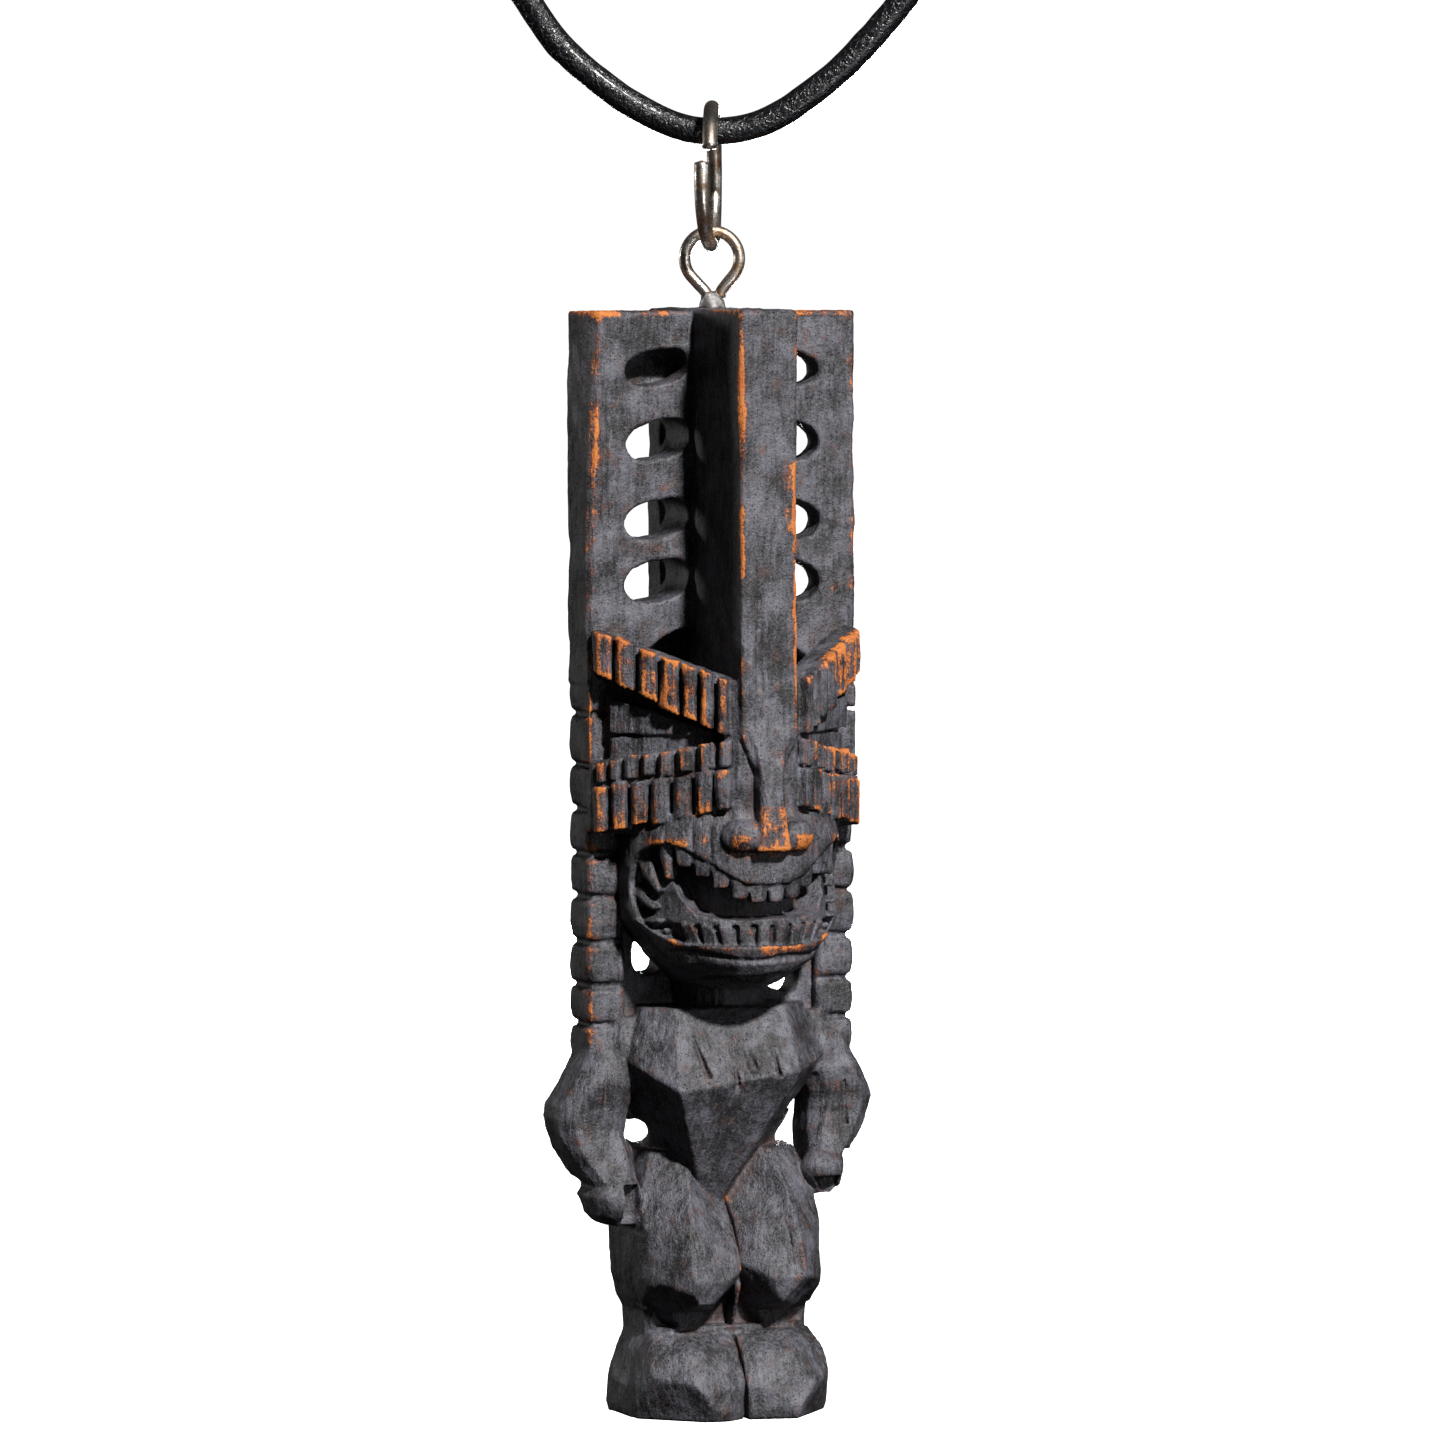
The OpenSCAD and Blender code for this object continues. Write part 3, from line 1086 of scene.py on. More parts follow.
    def lips(self, carving: Sculpture) -> None:
        """Grooves under the lower lip, and a few splits in the jaw.

        Args:
            carving: the sculpture.
        """
        for height, deep, wide in ((33.6, 0.0, 0.2), (32.35, 0.05, 0.16)):
            spots = []
            for turn in range(-64, 65, 8):
                bow = 0.4 if height > 32.5 else -0.2
                z = height + 0.0004 * turn * turn * bow + 0.1 * math.sin(turn * 0.11)
                spots.append(self.spot(turn, z, deep))
            for a, b in zip(spots, spots[1:]):
                carving.carve(stick(a, b, wide), 0.15)
        for turn, low, high in ((-41, 41.6, 43.6), (-31, 40.6, 43.4), (-29, 39.8, 41.4), (-57, 42.0, 43.0)):
            carving.carve(stick(self.spot(turn, low, 0.0), self.spot(turn, high, 0.0), 0.19, 0.1), 0.08)


@dataclass
class Braids:
    """The two ropes of pillow-shaped beads beside the face."""

    notches: Row = (54.0, 50.9, 47.2, 44.0, 40.8, 37.7, 34.4, 31.3, 28.5, 26.2)
    half_deep: float = 1.95
    waist: float = 0.42

    def shape(self, carving: Sculpture) -> None:
        """Adds nine beads on each side.

        Args:
            carving: the sculpture.
        """
        for high, low in zip(self.notches, self.notches[1:]):
            inner = 7.5 if low < 42 else 8.0
            tall = high - low
            levels = []
            for height, pull in (
                (low - 0.05, self.waist), (low + 0.13 * tall, 0.08), (low + 0.4 * tall, 0.0),
                (low + 0.84 * tall, 0.06), (high + 0.05, self.waist),
            ):
                front, back = -self.half_deep + pull, self.half_deep - pull * 0.8
                levels.append((height, inner, 10.4 - pull, front, back, 0.25))
            carving.add_pair(block(levels), 0.08)
        for height in self.notches[1:-1]:
            for side in (1, -1):
                carving.carve(stick((side * 7.6, -1.85, height), (side * 10.2, -1.75, height), 0.26), 0.08)
                carving.carve(stick((side * 10.2, -1.9, height), (side * 10.2, 2.0, height), 0.26), 0.08)
                carving.carve(stick((side * 7.6, 1.85, height), (side * 10.2, 1.8, height), 0.24), 0.08)


@dataclass
class Body:
    """The little faceted body: chest, arms bent to the hips, legs and feet."""

    left_arm: tuple[Row, ...] = (
        (14.1, 7.0, 9.3, -3.4, 0.2, 0.6), (14.8, 6.8, 10.1, -3.9, 0.8, 0.9),
        (16.2, 6.8, 10.6, -4.0, 1.0, 0.9), (16.9, 6.9, 10.2, -3.8, 1.0, 0.8),
        (17.5, 7.0, 10.8, -3.5, 1.3, 0.8), (19.4, 7.1, 12.0, -3.0, 1.9, 0.8),
        (20.9, 7.4, 12.6, -2.7, 2.1, 1.0), (21.8, 7.4, 12.8, -2.7, 2.1, 1.0),
        (22.7, 7.2, 12.6, -2.8, 2.2, 1.0), (24.2, 7.0, 11.6, -3.1, 2.2, 0.9),
        (26.0, 7.0, 10.6, -2.7, 2.0, 0.8), (27.4, 7.2, 9.9, -2.1, 1.8, 0.6),
    )
    right_arm: tuple[Row, ...] = (
        (15.7, 6.8, 8.2, -3.2, 0.2, 0.5), (16.4, 6.6, 8.8, -3.9, 0.8, 0.7),
        (17.3, 6.5, 8.9, -3.9, 1.0, 0.7), (18.2, 6.5, 9.2, -3.6, 1.0, 0.7),
        (20.2, 6.6, 10.8, -3.1, 1.8, 0.9), (21.6, 6.9, 11.6, -2.7, 2.1, 1.0),
        (22.6, 7.0, 11.9, -2.7, 2.1, 1.0), (23.5, 6.8, 11.6, -2.8, 2.2, 1.0),
        (24.8, 6.6, 10.8, -2.9, 2.2, 0.9), (26.2, 6.8, 10.1, -2.5, 2.0, 0.7),
        (27.4, 7.2, 9.8, -2.1, 1.8, 0.6),
    )
    leg_gap: float = 0.12

    def shape(self, carving: Sculpture) -> None:
        """Adds the body.

        Args:
            carving: the sculpture.
        """
        self.trunk(carving)
        self.arms(carving)
        self.legs(carving)
        self.gaps(carving)
        self.cracks(carving)

    def trunk(self, carving: Sculpture) -> None:
        """The neck, the chest and the wedge of the belly.

        Args:
            carving: the sculpture.
        """
        carving.add(stick((0, -0.6, 28.0), (0, -0.6, 34.0), 3.4), 0.0)
        a, b, c, e = (-5.3, -7.1, 23.9), (4.3, -6.8, 25.1), (-7.7, -3.2, 25.9), (7.6, -2.8, 25.9)
        tip, crown_l, crown_r = (-1.4, -2.5, 14.0), (-4.4, -4.6, 29.6), (3.8, -4.5, 29.8)
        carving.add(faceted([
            (a, b, crown_r), (c, a, crown_l), (b, e, crown_r), (tip, b, a), (tip, a, c), (tip, e, b),
            (c, (-7.4, 2.4, 25.6), (-4.6, 1.8, 16.0)), (e, (4.6, 1.8, 16.0), (7.4, 2.4, 25.4)),
            (c, (-6.4, -2.0, 29.6), (-7.4, 2.4, 25.6)), (e, (7.4, 2.4, 25.4), (6.4, -2.0, 29.6)),
            ((-6.4, 2.0, 29.7), (-6.4, -2.0, 29.7), (6.4, -2.0, 29.7)),
            ((-2.2, 5.0, 24.0), (2.2, 5.0, 24.0), (0.0, 3.9, 16.0)),
            ((2.2, 5.0, 24.0), (-2.2, 5.0, 24.0), (0.0, 4.4, 29.6)),
            ((-2.2, 5.0, 24.0), (-7.0, 2.6, 18.0), (-7.0, 2.6, 28.0)),
            ((2.2, 5.0, 24.0), (7.0, 2.6, 28.0), (7.0, 2.6, 18.0)),
        ], (-7.9, -7.3, 14.4), (7.9, 5.1, 29.9)), 0.15)
        carving.add_pair(block([
            (24.6, 5.6, 8.9, -2.6, 2.3, 0.8), (26.6, 4.6, 9.0, -2.8, 2.3, 0.8),
            (29.0, 4.0, 8.4, -1.9, 1.9, 0.6),
        ]), 0.3)

    def arms(self, carving: Sculpture) -> None:
        """Both arms, with the fists on the hips.

        Args:
            carving: the sculpture.
        """
        for side in (1, -1):
            left = side < 0
            arm = block(self.left_arm if left else self.right_arm)
            carving.add(arm.mirrored() if left else arm, 0.35)
            palm = (side * (8.3 if left else 7.4), -3.1, 16.0 if left else 17.6)
            carving.add(egg(palm, (1.6, 1.4, 1.6 if left else 1.3)), 0.5)
            if left:
                carving.carve(stick((-8.9, -4.5, 17.0), (-11.4, -3.2, 16.8), 0.3, 0.34), 0.2)
                carving.carve(stick((-10.9, -3.6, 16.75), (-11.1, 1.0, 16.75), 0.34), 0.2)
            else:
                carving.carve(stick((7.4, -4.9, 16.6), (9.4, -4.1, 15.9), 0.32, 0.3), 0.2)
                carving.carve(stick((9.3, -3.6, 18.6), (9.6, 0.8, 18.5), 0.28), 0.2)
            carving.carve(stick((side * 7.3, -4.7, 17.0), (side * 6.7, -4.2, 15.0), 0.25), 0.15)

    def gaps(self, carving: Sculpture) -> None:
        """Pierces the gap between each arm and the side.

        Args:
            carving: the sculpture.
        """
        left = [
            (-7.3, 20.2), (-7.1, 19.4), (-6.2, 19.4), (-5.4, 20.2), (-5.5, 21.2), (-6.5, 21.7), (-7.2, 21.3),
        ]
        right = [(4.6, 20.9), (5.3, 20.5), (6.3, 21.7), (6.8, 23.1), (6.4, 23.4), (5.5, 22.6)]
        for outline in (left, right):
            carving.carve(pierced(outline, (-12.0, 6.0), 0.6), 0.3)
        carving.carve(stick((-7.75, -4.5, 20.7), (-3.75, 5.4, 20.1), 0.9), 0.25)

    def legs(self, carving: Sculpture) -> None:
        """Thighs, bent knees and feet, and the wood left between the legs.

        Args:
            carving: the sculpture.
        """
        gap = self.leg_gap
        thigh = [
            (7.8, [(gap, -4.6), (4.7, -4.9), (6.5, -3.4), (6.6, 1.6), (5.0, 3.9), (gap, 3.6)]),
            (8.5, [(gap, -6.3), (4.5, -7.4), (6.4, -5.6), (7.0, 1.6), (5.4, 4.2), (gap, 3.9)]),
            (10.2, [(gap, -6.6), (4.4, -7.6), (6.7, -5.4), (7.4, 1.4), (5.6, 4.4), (gap, 4.0)]),
            (13.4, [(gap, -4.7), (4.1, -6.9), (6.9, -4.2), (7.6, 1.4), (5.6, 4.9), (gap, 4.4)]),
            (16.2, [(gap, -1.9), (3.8, -5.2), (6.7, -3.0), (7.5, 1.4), (5.2, 4.9), (gap, 4.3)]),
            (19.2, [(gap, -0.6), (3.3, -3.1), (5.6, -1.8), (6.2, 1.4), (4.2, 4.6), (gap, 4.2)]),
        ]
        shin = [
            (4.6, [(gap, -3.8), (4.8, -4.0), (6.3, -2.4), (6.4, 1.6), (4.8, 3.7), (gap, 3.4)]),
            (9.0, [(gap, -4.2), (4.8, -4.4), (6.4, -2.6), (6.6, 1.6), (5.0, 3.8), (gap, 3.6)]),
        ]
        foot = [
            (0.0, [(gap, -6.9), (4.2, -7.7), (7.2, -6.2), (7.5, 1.6), (5.8, 3.9), (gap, 3.7)]),
            (0.7, [(gap, -7.0), (4.0, -8.0), (7.3, -6.2), (7.7, 1.6), (6.0, 4.0), (gap, 3.8)]),
            (2.4, [(gap, -6.8), (4.0, -8.0), (7.2, -5.8), (7.6, 1.6), (5.8, 4.0), (gap, 3.8)]),
            (4.9, [(gap, -5.4), (3.8, -6.6), (6.7, -4.6), (6.9, 1.6), (5.2, 3.9), (gap, 3.6)]),
            (6.2, [(gap, -3.9), (3.7, -4.7), (6.1, -3.5), (6.3, 1.6), (4.8, 3.7), (gap, 3.4)]),
        ]
        for part in (thigh, shin, foot):
            carving.add_pair(loft(part), 0.15)
        carving.add(block([
            (0.6, -1.2, 1.2, -5.6, 2.6, 0.4), (5.0, -1.2, 1.2, -3.7, 2.6, 0.4),
            (9.5, -1.2, 1.2, -5.2, 2.6, 0.4), (17.0, -1.2, 1.2, -1.2, 3.2, 0.4),
        ]), 0.15)
        self.knife_cuts(carving)
        carving.add(block([
            (15.0, -6.6, 6.6, -1.0, 4.0, 1.2), (17.6, -6.6, 6.6, -1.0, 4.6, 1.4),
            (19.4, -5.0, 5.0, -1.4, 4.6, 1.4), (22.0, -4.2, 4.2, -2.0, 4.6, 1.4),
        ]), 0.4)

    def knife_cuts(self, carving: Sculpture) -> None:
        """Flat cuts on both knees and both feet, each kept inside its own box.

        Args:
            carving: the sculpture.
        """
        left_knee = (-8.4, -9.0, 6.6), (-0.15, -3.0, 17.0)
        right_knee = (0.15, -9.0, 6.6), (8.4, -3.0, 17.0)
        left_foot = (-8.4, -9.0, -0.4), (-0.15, -3.0, 6.4)
        right_foot = (0.15, -9.0, -0.4), (8.4, -3.0, 6.4)
        for (low, high), cuts in (
            (left_knee, (
                ((-6.9, -4.2, 14.0), (-4.4, -7.5, 10.4), (-6.6, -5.3, 8.4)),
                ((-7.5, -2.6, 14.6), (-5.6, -7.4, 10.6), (-5.9, -6.6, 8.4)),
                ((-3.5, -7.7, 8.4), (-6.7, -5.6, 10.6), (-4.8, -4.2, 7.4)),
                ((-3.2, -7.7, 8.4), (-0.2, -6.3, 10.8), (-1.8, -4.2, 7.6)),
                ((-4.0, -6.3, 14.6), (-1.6, -6.4, 12.4), (-3.2, -7.5, 10.4)),
            )),
            (right_knee, (
                ((2.7, -7.6, 9.2), (0.2, -6.0, 11.8), (1.6, -4.2, 7.8)),
                ((3.0, -7.6, 9.2), (6.7, -5.4, 10.2), (4.8, -4.2, 7.6)),
                ((7.5, -2.6, 14.4), (5.3, -7.3, 10.6), (5.8, -6.2, 8.6)),
                ((6.8, -4.0, 13.6), (4.7, -7.3, 10.6), (6.6, -5.0, 9.0)),
                ((1.2, -5.2, 13.4), (2.9, -7.0, 12.4), (1.4, -6.6, 10.6)),
            )),
            (left_foot, (
                ((-7.8, -3.6, 4.2), (-5.7, -7.6, 3.2), (-5.2, -7.9, 0.4)),
                ((-7.6, -5.0, 3.6), (-4.5, -7.5, 2.9), (-5.2, -5.3, -0.2)),
                ((-0.4, -6.2, 4.9), (-3.6, -6.3, 5.3), (-1.6, -7.9, 1.6)),
                ((-0.3, -6.6, 0.3), (-2.4, -7.9, 0.3), (-1.2, -7.4, 3.4)),
                ((-3.6, -7.0, -0.1), (-5.4, -7.6, 1.9), (-2.0, -7.9, 1.2)),
            )),
            (right_foot, (
                ((7.8, -3.6, 4.2), (5.6, -7.4, 3.2), (5.3, -7.7, 0.4)),
                ((0.4, -6.3, 4.5), (3.0, -6.4, 5.1), (1.4, -7.6, 1.4)),
                ((2.2, -7.4, 2.8), (5.2, -7.1, 3.0), (3.8, -7.9, 0.8)),
                ((7.4, -5.0, 2.8), (4.8, -7.3, 1.8), (5.6, -5.4, -0.4)),
            )),
        ):
            for cut in cuts:
                carving.slice_off(cut, low, high)

    def cracks(self, carving: Sculpture) -> None:
        """Splits along the grain.

        Args:
            carving: the sculpture.
        """
        for a, b, wide in (
            ((-2.9, -6.4, 24.9), (-3.6, -5.2, 27.8), 0.2), ((-0.7, -6.9, 23.7), (-0.75, -6.4, 25.5), 0.17),
            ((0.7, -6.5, 25.4), (0.1, -5.4, 28.2), 0.22), ((2.6, -6.6, 24.9), (2.3, -5.9, 26.8), 0.12),
            ((1.0, -7.0, 17.5), (1.5, -7.1, 22.5), 0.12), ((-4.2, -6.4, 14.8), (-3.5, -7.3, 10.6), 0.22),
            ((-3.3, -6.9, 13.0), (-3.1, -7.4, 11.2), 0.14), ((3.2, -5.9, 15.0), (3.5, -6.7, 12.4), 0.14),
            ((-9.6, -2.9, 21.0), (-9.3, -2.9, 25.4), 0.16), ((9.4, -2.7, 20.6), (9.2, -2.7, 24.6), 0.14),
            ((4.8, -7.4, 3.0), (4.6, -7.8, 1.0), 0.14), ((-3.4, -7.9, 0.4), (-3.0, -7.7, 3.2), 0.12),
        ):
            carving.carve(stick(a, b, wide + 0.1, 0.1), 0.05)


# ---- meshes


def lay_mesh(
    name: str, points: Array, faces: Sequence[Sequence[int]], material: Material
) -> Object:
    """Makes a smooth-shaded piece.

    Args:
        name: the piece's name.
        points: its corners, in metres.
        faces: its faces.
        material: its finish.

    Returns:
        The new object.
    """
    mesh = bpy.data.meshes.new(name)
    mesh.from_pydata([tuple(map(float, p)) for p in points], [], [tuple(map(int, f)) for f in faces])
    mesh.polygons.foreach_set("use_smooth", np.ones(len(mesh.polygons), bool))
    mesh.materials.append(material)
    mesh.update()
    piece = bpy.data.objects.new(name, mesh)
    bpy.context.scene.collection.objects.link(piece)
    return piece


def to_frame(points: Array) -> Array:
    """Millimetres above the soles turned into metres in the frame.

    Args:
        points: the places in millimetres.

    Returns:
        The places in metres.
    """
    out = np.array(points, float) * MM
    out[:, 2] += SOLE_Z
    return out


def run_along(line: Array) -> Array:
    """How far along a line each of its points is."""
    return np.concatenate([[0], np.cumsum(np.linalg.norm(np.diff(line, axis=0), axis=1))])


def closed_rings(count: int, sides: int) -> list[tuple[int, ...]]:
    """The faces between rings of points, with a cap at each end.

    Args:
        count: how many rings there are.
        sides: how many points are on each.

    Returns:
        The faces, with the two caps last.
    """
    faces = [
        (i * sides + k, i * sides + (k + 1) % sides, (i + 1) * sides + (k + 1) % sides, (i + 1) * sides + k)
        for i in range(count - 1)
        for k in range(sides)
    ]
    faces.append(tuple(range(sides - 1, -1, -1)))
    faces.append(tuple((count - 1) * sides + k for k in range(sides)))
    return faces


def fine_line(points: Sequence[Sequence[float]], step: float) -> Array:
    """A smooth curve through points, with even spacing.

    Args:
        points: the points it passes through.
        step: the spacing wanted.

    Returns:
        The curve's points.
    """
    p = np.array(points, float)
    p = np.vstack([2 * p[0] - p[1], p, 2 * p[-1] - p[-2]])
    out = []
    for i in range(1, len(p) - 2):
        for t in np.linspace(0, 1, 12, endpoint=False):
            a = 2 * p[i]
            b = (p[i + 1] - p[i - 1]) * t
            c = (2 * p[i - 1] - 5 * p[i] + 4 * p[i + 1] - p[i + 2]) * t * t
            d = (3 * p[i] - p[i - 1] - 3 * p[i + 1] + p[i + 2]) * t**3
            out.append(0.5 * (a + b + c + d))
    out.append(p[-2])
    line = np.array(out)
    run = run_along(line)
    count = max(2, round(run[-1] / step))
    want = np.linspace(0, run[-1], count + 1)
    return np.stack([np.interp(want, run, line[:, k]) for k in range(3)], axis=1)


@dataclass(frozen=True)
class Tube:
    """A round or flattened section carried along a line."""

    radius: float
    sides: int = 16
    end_round: float = 0.0

    def frames(self, line: Array) -> tuple[Array, Array]:
        """Two directions across the line at each point, turned as little as possible.

        Args:
            line: the points that it follows.

        Returns:
            The two directions.
        """
        along = np.gradient(line, axis=0)
        along /= np.linalg.norm(along, axis=1)[:, None]
        first = np.cross(along[0], (0.31, 0.2, 0.93))
        if np.linalg.norm(first) < 0.2:
            first = np.cross(along[0], (1.0, 0.1, 0.0))
        side = first / np.linalg.norm(first)
        sides = []
        for direction in along:
            side = side - direction * float(side @ direction)
            side = side / np.linalg.norm(side)
            sides.append(side)
        a = np.array(sides)
        return a, np.cross(along, a)

    def skin(self, line: Array, swell: Array | None = None) -> tuple[Array, list]:
        """The tube's points and faces.

        Args:
            line: the points that it follows.
            swell: how its radius varies, as one factor for each point and side.

        Returns:
            Points and faces, closed at both ends.
        """
        a, b = self.frames(line)
        turn = np.linspace(0, 2 * math.pi, self.sides, endpoint=False)
        size = np.full((len(line), self.sides), self.radius)
        if swell is not None:
            size = size * swell
        if self.end_round > 0:
            run = run_along(line)
            near = np.minimum(run, run[-1] - run) / self.end_round
            size = size * np.sqrt(np.clip(1 - np.square(1 - np.clip(near, 0, 1)), 0.02, 1))[:, None]
        ring = line[:, None] + size[..., None] * (
            np.cos(turn)[None, :, None] * a[:, None] + np.sin(turn)[None, :, None] * b[:, None]
        )
        return ring.reshape(-1, 3), closed_rings(len(line), self.sides)


# ---- shader helpers


class Level:
    """A number that varies over a surface, with the usual sums written as Math nodes."""

    def __init__(self, tree: "NodeTree", socket: NodeSocket) -> None:
        """Wraps a socket of a tree's nodes."""
        self.tree = tree
        self.socket = socket

    def _sum(self, operation: str, first: "Level | float", second: "Level | float") -> "Level":
        """The Math node of that operation on two numbers."""
        node = self.tree.node("ShaderNodeMath", {"operation": operation}, {0: first, 1: second})
        return Level(self.tree, node.outputs[0])

    def __add__(self, other: "Level | float") -> "Level":
        """This and another."""
        return self._sum("ADD", self, other)

    def __radd__(self, other: float) -> "Level":
        """A number and this."""
        return self._sum("ADD", other, self)

    def __sub__(self, other: "Level | float") -> "Level":
        """This less another."""
        return self._sum("SUBTRACT", self, other)

    def __rsub__(self, other: float) -> "Level":
        """A number less this."""
        return self._sum("SUBTRACT", other, self)

    def __mul__(self, other: "Level | float") -> "Level":
        """This times another."""
        return self._sum("MULTIPLY", self, other)

    def __rmul__(self, other: float) -> "Level":
        """A number times this."""
        return self._sum("MULTIPLY", other, self)

    def step(self, low: float, high: float) -> "Level":
        """A soft step from 0 at low to 1 at high.

        Args:
            low: where the step starts.
            high: where it ends.

        Returns:
            The stepped number.
        """
        settings = {"interpolation_type": "SMOOTHSTEP"}
        node = self.tree.node("ShaderNodeMapRange", settings, {0: self, 1: low, 2: high})
        return Level(self.tree, node.outputs[0])


class NodeTree:
    """The nodes of a material or of the world."""

    def __init__(self, owner: Material | bpy.types.World) -> None:
        """Empties the owner's nodes.

        Args:
            owner: the material or the world.
        """
        owner.use_nodes = True
        self.tree = owner.node_tree
        self.tree.nodes.clear()

    def node(self, kind: str, settings: dict | None = None, values: dict | None = None) -> bpy.types.Node:
        """Adds a node.

        Args:
            kind: its type.
            settings: its own settings, which are set first.
            values: what goes into its sockets, by name or number: a value, a socket or a Level.

        Returns:
            The node.
        """
        node = self.tree.nodes.new(kind)
        for key, value in (settings or {}).items():
            setattr(node, key, value)
        for key, value in (values or {}).items():
            if isinstance(value, Level):
                value = value.socket
            if isinstance(value, NodeSocket):
                self.tree.links.new(value, node.inputs[key])
            else:
                node.inputs[key].default_value = value
        return node


class Paint(NodeTree):
    """One material's nodes."""

    def __init__(self, name: str) -> None:
        """Starts an empty material of that name."""
        self.material = bpy.data.materials.new(name)
        super().__init__(self.material)

    def place(self, stretch: Point = (1.0, 1.0, 1.0)) -> NodeSocket:
        """The surface's own place in millimetres, stretched as asked.

        Args:
            stretch: how much finer the pattern is along x, y and z.

        Returns:
            The place's socket.
        """
        spot = self.node("ShaderNodeTexCoord").outputs["Object"]
        size = tuple(v / MM for v in stretch)
        node = self.node("ShaderNodeVectorMath", {"operation": "MULTIPLY"}, {0: spot, 1: size})
        return node.outputs[0]

    def noise(
        self, place: NodeSocket, scale: float, detail: float = 2.0, rough: float = 0.5
    ) -> Level:
        """Cloudy noise, from 0 to 1."""
        values = {"Vector": place, "Scale": scale, "Detail": detail, "Roughness": rough}
        return Level(self, self.node("ShaderNodeTexNoise", {}, values).outputs[0])

    def cells(self, place: NodeSocket, scale: float, feature: str) -> Level:
        """Distances in a pattern of cells, of the feature asked for."""
        node = self.node("ShaderNodeTexVoronoi", {"feature": feature}, {"Vector": place, "Scale": scale})
        return Level(self, node.outputs["Distance"])

    def attribute(self, name: str) -> Level:
        """A number kept at the mesh's points."""
        return Level(self, self.node("ShaderNodeAttribute", {"attribute_name": name}).outputs["Fac"])

    def mix(self, factor: Level | float, first: object, second: object) -> NodeSocket:
        """One colour turning into another.

        Args:
            factor: 0 for the first and 1 for the second.
            first: a colour or a socket.
            second: a colour or a socket.

        Returns:
            The mixed colour's socket.
        """
        settings = {"data_type": "RGBA", "clamp_factor": True}
        return self.node("ShaderNodeMix", settings, {0: factor, 6: first, 7: second}).outputs[2]

    def bump(self, height: Level, depth: float, strength: float = 1.0) -> NodeSocket:
        """A relief of that depth in millimetres."""
        values = {"Height": height, "Distance": depth * MM, "Strength": strength}
        return self.node("ShaderNodeBump", {}, values).outputs[0]

    def finish(self, values: dict) -> Material:
        """Ends the material in a surface with those values.

        Args:
            values: what goes into the surface's sockets.

        Returns:
            The material.
        """
        surface = self.node("ShaderNodeBsdfPrincipled", {}, values)
        self.node("ShaderNodeOutputMaterial", {}, {"Surface": surface.outputs[0]})
        return self.material


def tint(red: float, green: float, blue: float) -> Colour:
    """A colour as the eye reads it, from 0 to 255, turned into linear light.

    Args:
        red: how red it is.
        green: how green.
        blue: how blue.

    Returns:
        The colour.
    """
    parts = [c / 255 for c in (red, green, blue)]
    flat = [c / 12.92 if c <= 0.04045 else ((c + 0.055) / 1.055) ** 2.4 for c in parts]
    return (flat[0], flat[1], flat[2], 1.0)


# ---- finishes


@dataclass(frozen=True)
class StainedWood:
    """Dark stain, rubbed through to orange on the edges and reddish in the hollows, with pale specks painted
    as glints.
    """

    soot: Colour = tint(20, 19, 21)
    slate: Colour = tint(80, 80, 88)
    # the pale grey of the specks painted as glints on the grain
    dust_and_glint: Colour = tint(116, 114, 116)
    umber: Colour = tint(62, 43, 37)
    rust: Colour = tint(86, 44, 28)
    orange: Colour = tint(140, 74, 30)
    amber: Colour = tint(172, 104, 46)

    def make(self) -> Material:
        """Builds the material.

        Returns:
            The material.
        """
        paint = Paint("stained_wood")
        spot = paint.place()
        along = paint.place((1.0, 1.0, 0.14))
        cloud = paint.noise(spot, 0.42, 4.0, 0.6)
        patch = paint.noise(spot, 0.9, 3.0, 0.6)
        grain = paint.noise(along, 3.4, 3.0, 0.6)
        grit = paint.noise(spot, 5.5, 3.0, 0.65)
        pits = paint.cells(spot, 2.6, "F1")
        wear = paint.attribute("wear")
        hollow = paint.attribute("hollow")

        shade = (cloud * 0.68 + grain * 0.35 + grit * 0.42).step(0.58, 0.9)
        stain = paint.mix(shade, self.soot, self.slate)
        # pale specks scattered over the stain are painted glints on the grain
        stain = paint.mix(paint.noise(spot, 9.0, 1.0).step(0.66, 0.76) * 0.5, stain, self.dust_and_glint)
        stain = paint.mix((patch * 0.8 + grit * 0.3).step(0.58, 0.78) * 0.7, stain, self.umber)
        stain = paint.mix((hollow * 0.9 + patch * 0.5 - 0.42).step(0.0, 0.5) * 0.45, stain, self.umber)
        rubbed = wear + (patch - 0.5) * 1.1 + (grain - 0.5) * 0.9 + (grit - 0.5) * 0.9
        halo = rubbed.step(0.24, 0.52)
        bare = rubbed.step(0.46, 0.66)
        gold = paint.mix((cloud * 0.6 + grit * 0.6).step(0.45, 0.75), self.orange, self.amber)
        colour = paint.mix(halo * 0.75, stain, self.rust)
        colour = paint.mix(bare, colour, gold)
        dots = (grit * 0.6 + patch * 0.4).step(0.33, 0.44)
        colour = paint.mix((1 - dots) * bare * 0.8, colour, self.rust)
        hole = pits.step(0.05, 0.16)
        colour = paint.mix((1 - hole) * (1 - bare * 0.6) * 0.9, colour, self.soot)

        height = grain * 0.55 + grit * 0.4 + cloud * 0.7 + patch * 0.4 - (1 - hole) * 0.6
        return paint.finish({
            "Base Color": colour,
            "Roughness": 0.46 + grit * 0.22 + bare * 0.12 - shade * 0.06,
            "Specular IOR Level": 0.34,
            "Normal": paint.bump(height, 0.2, 1.0),
        })


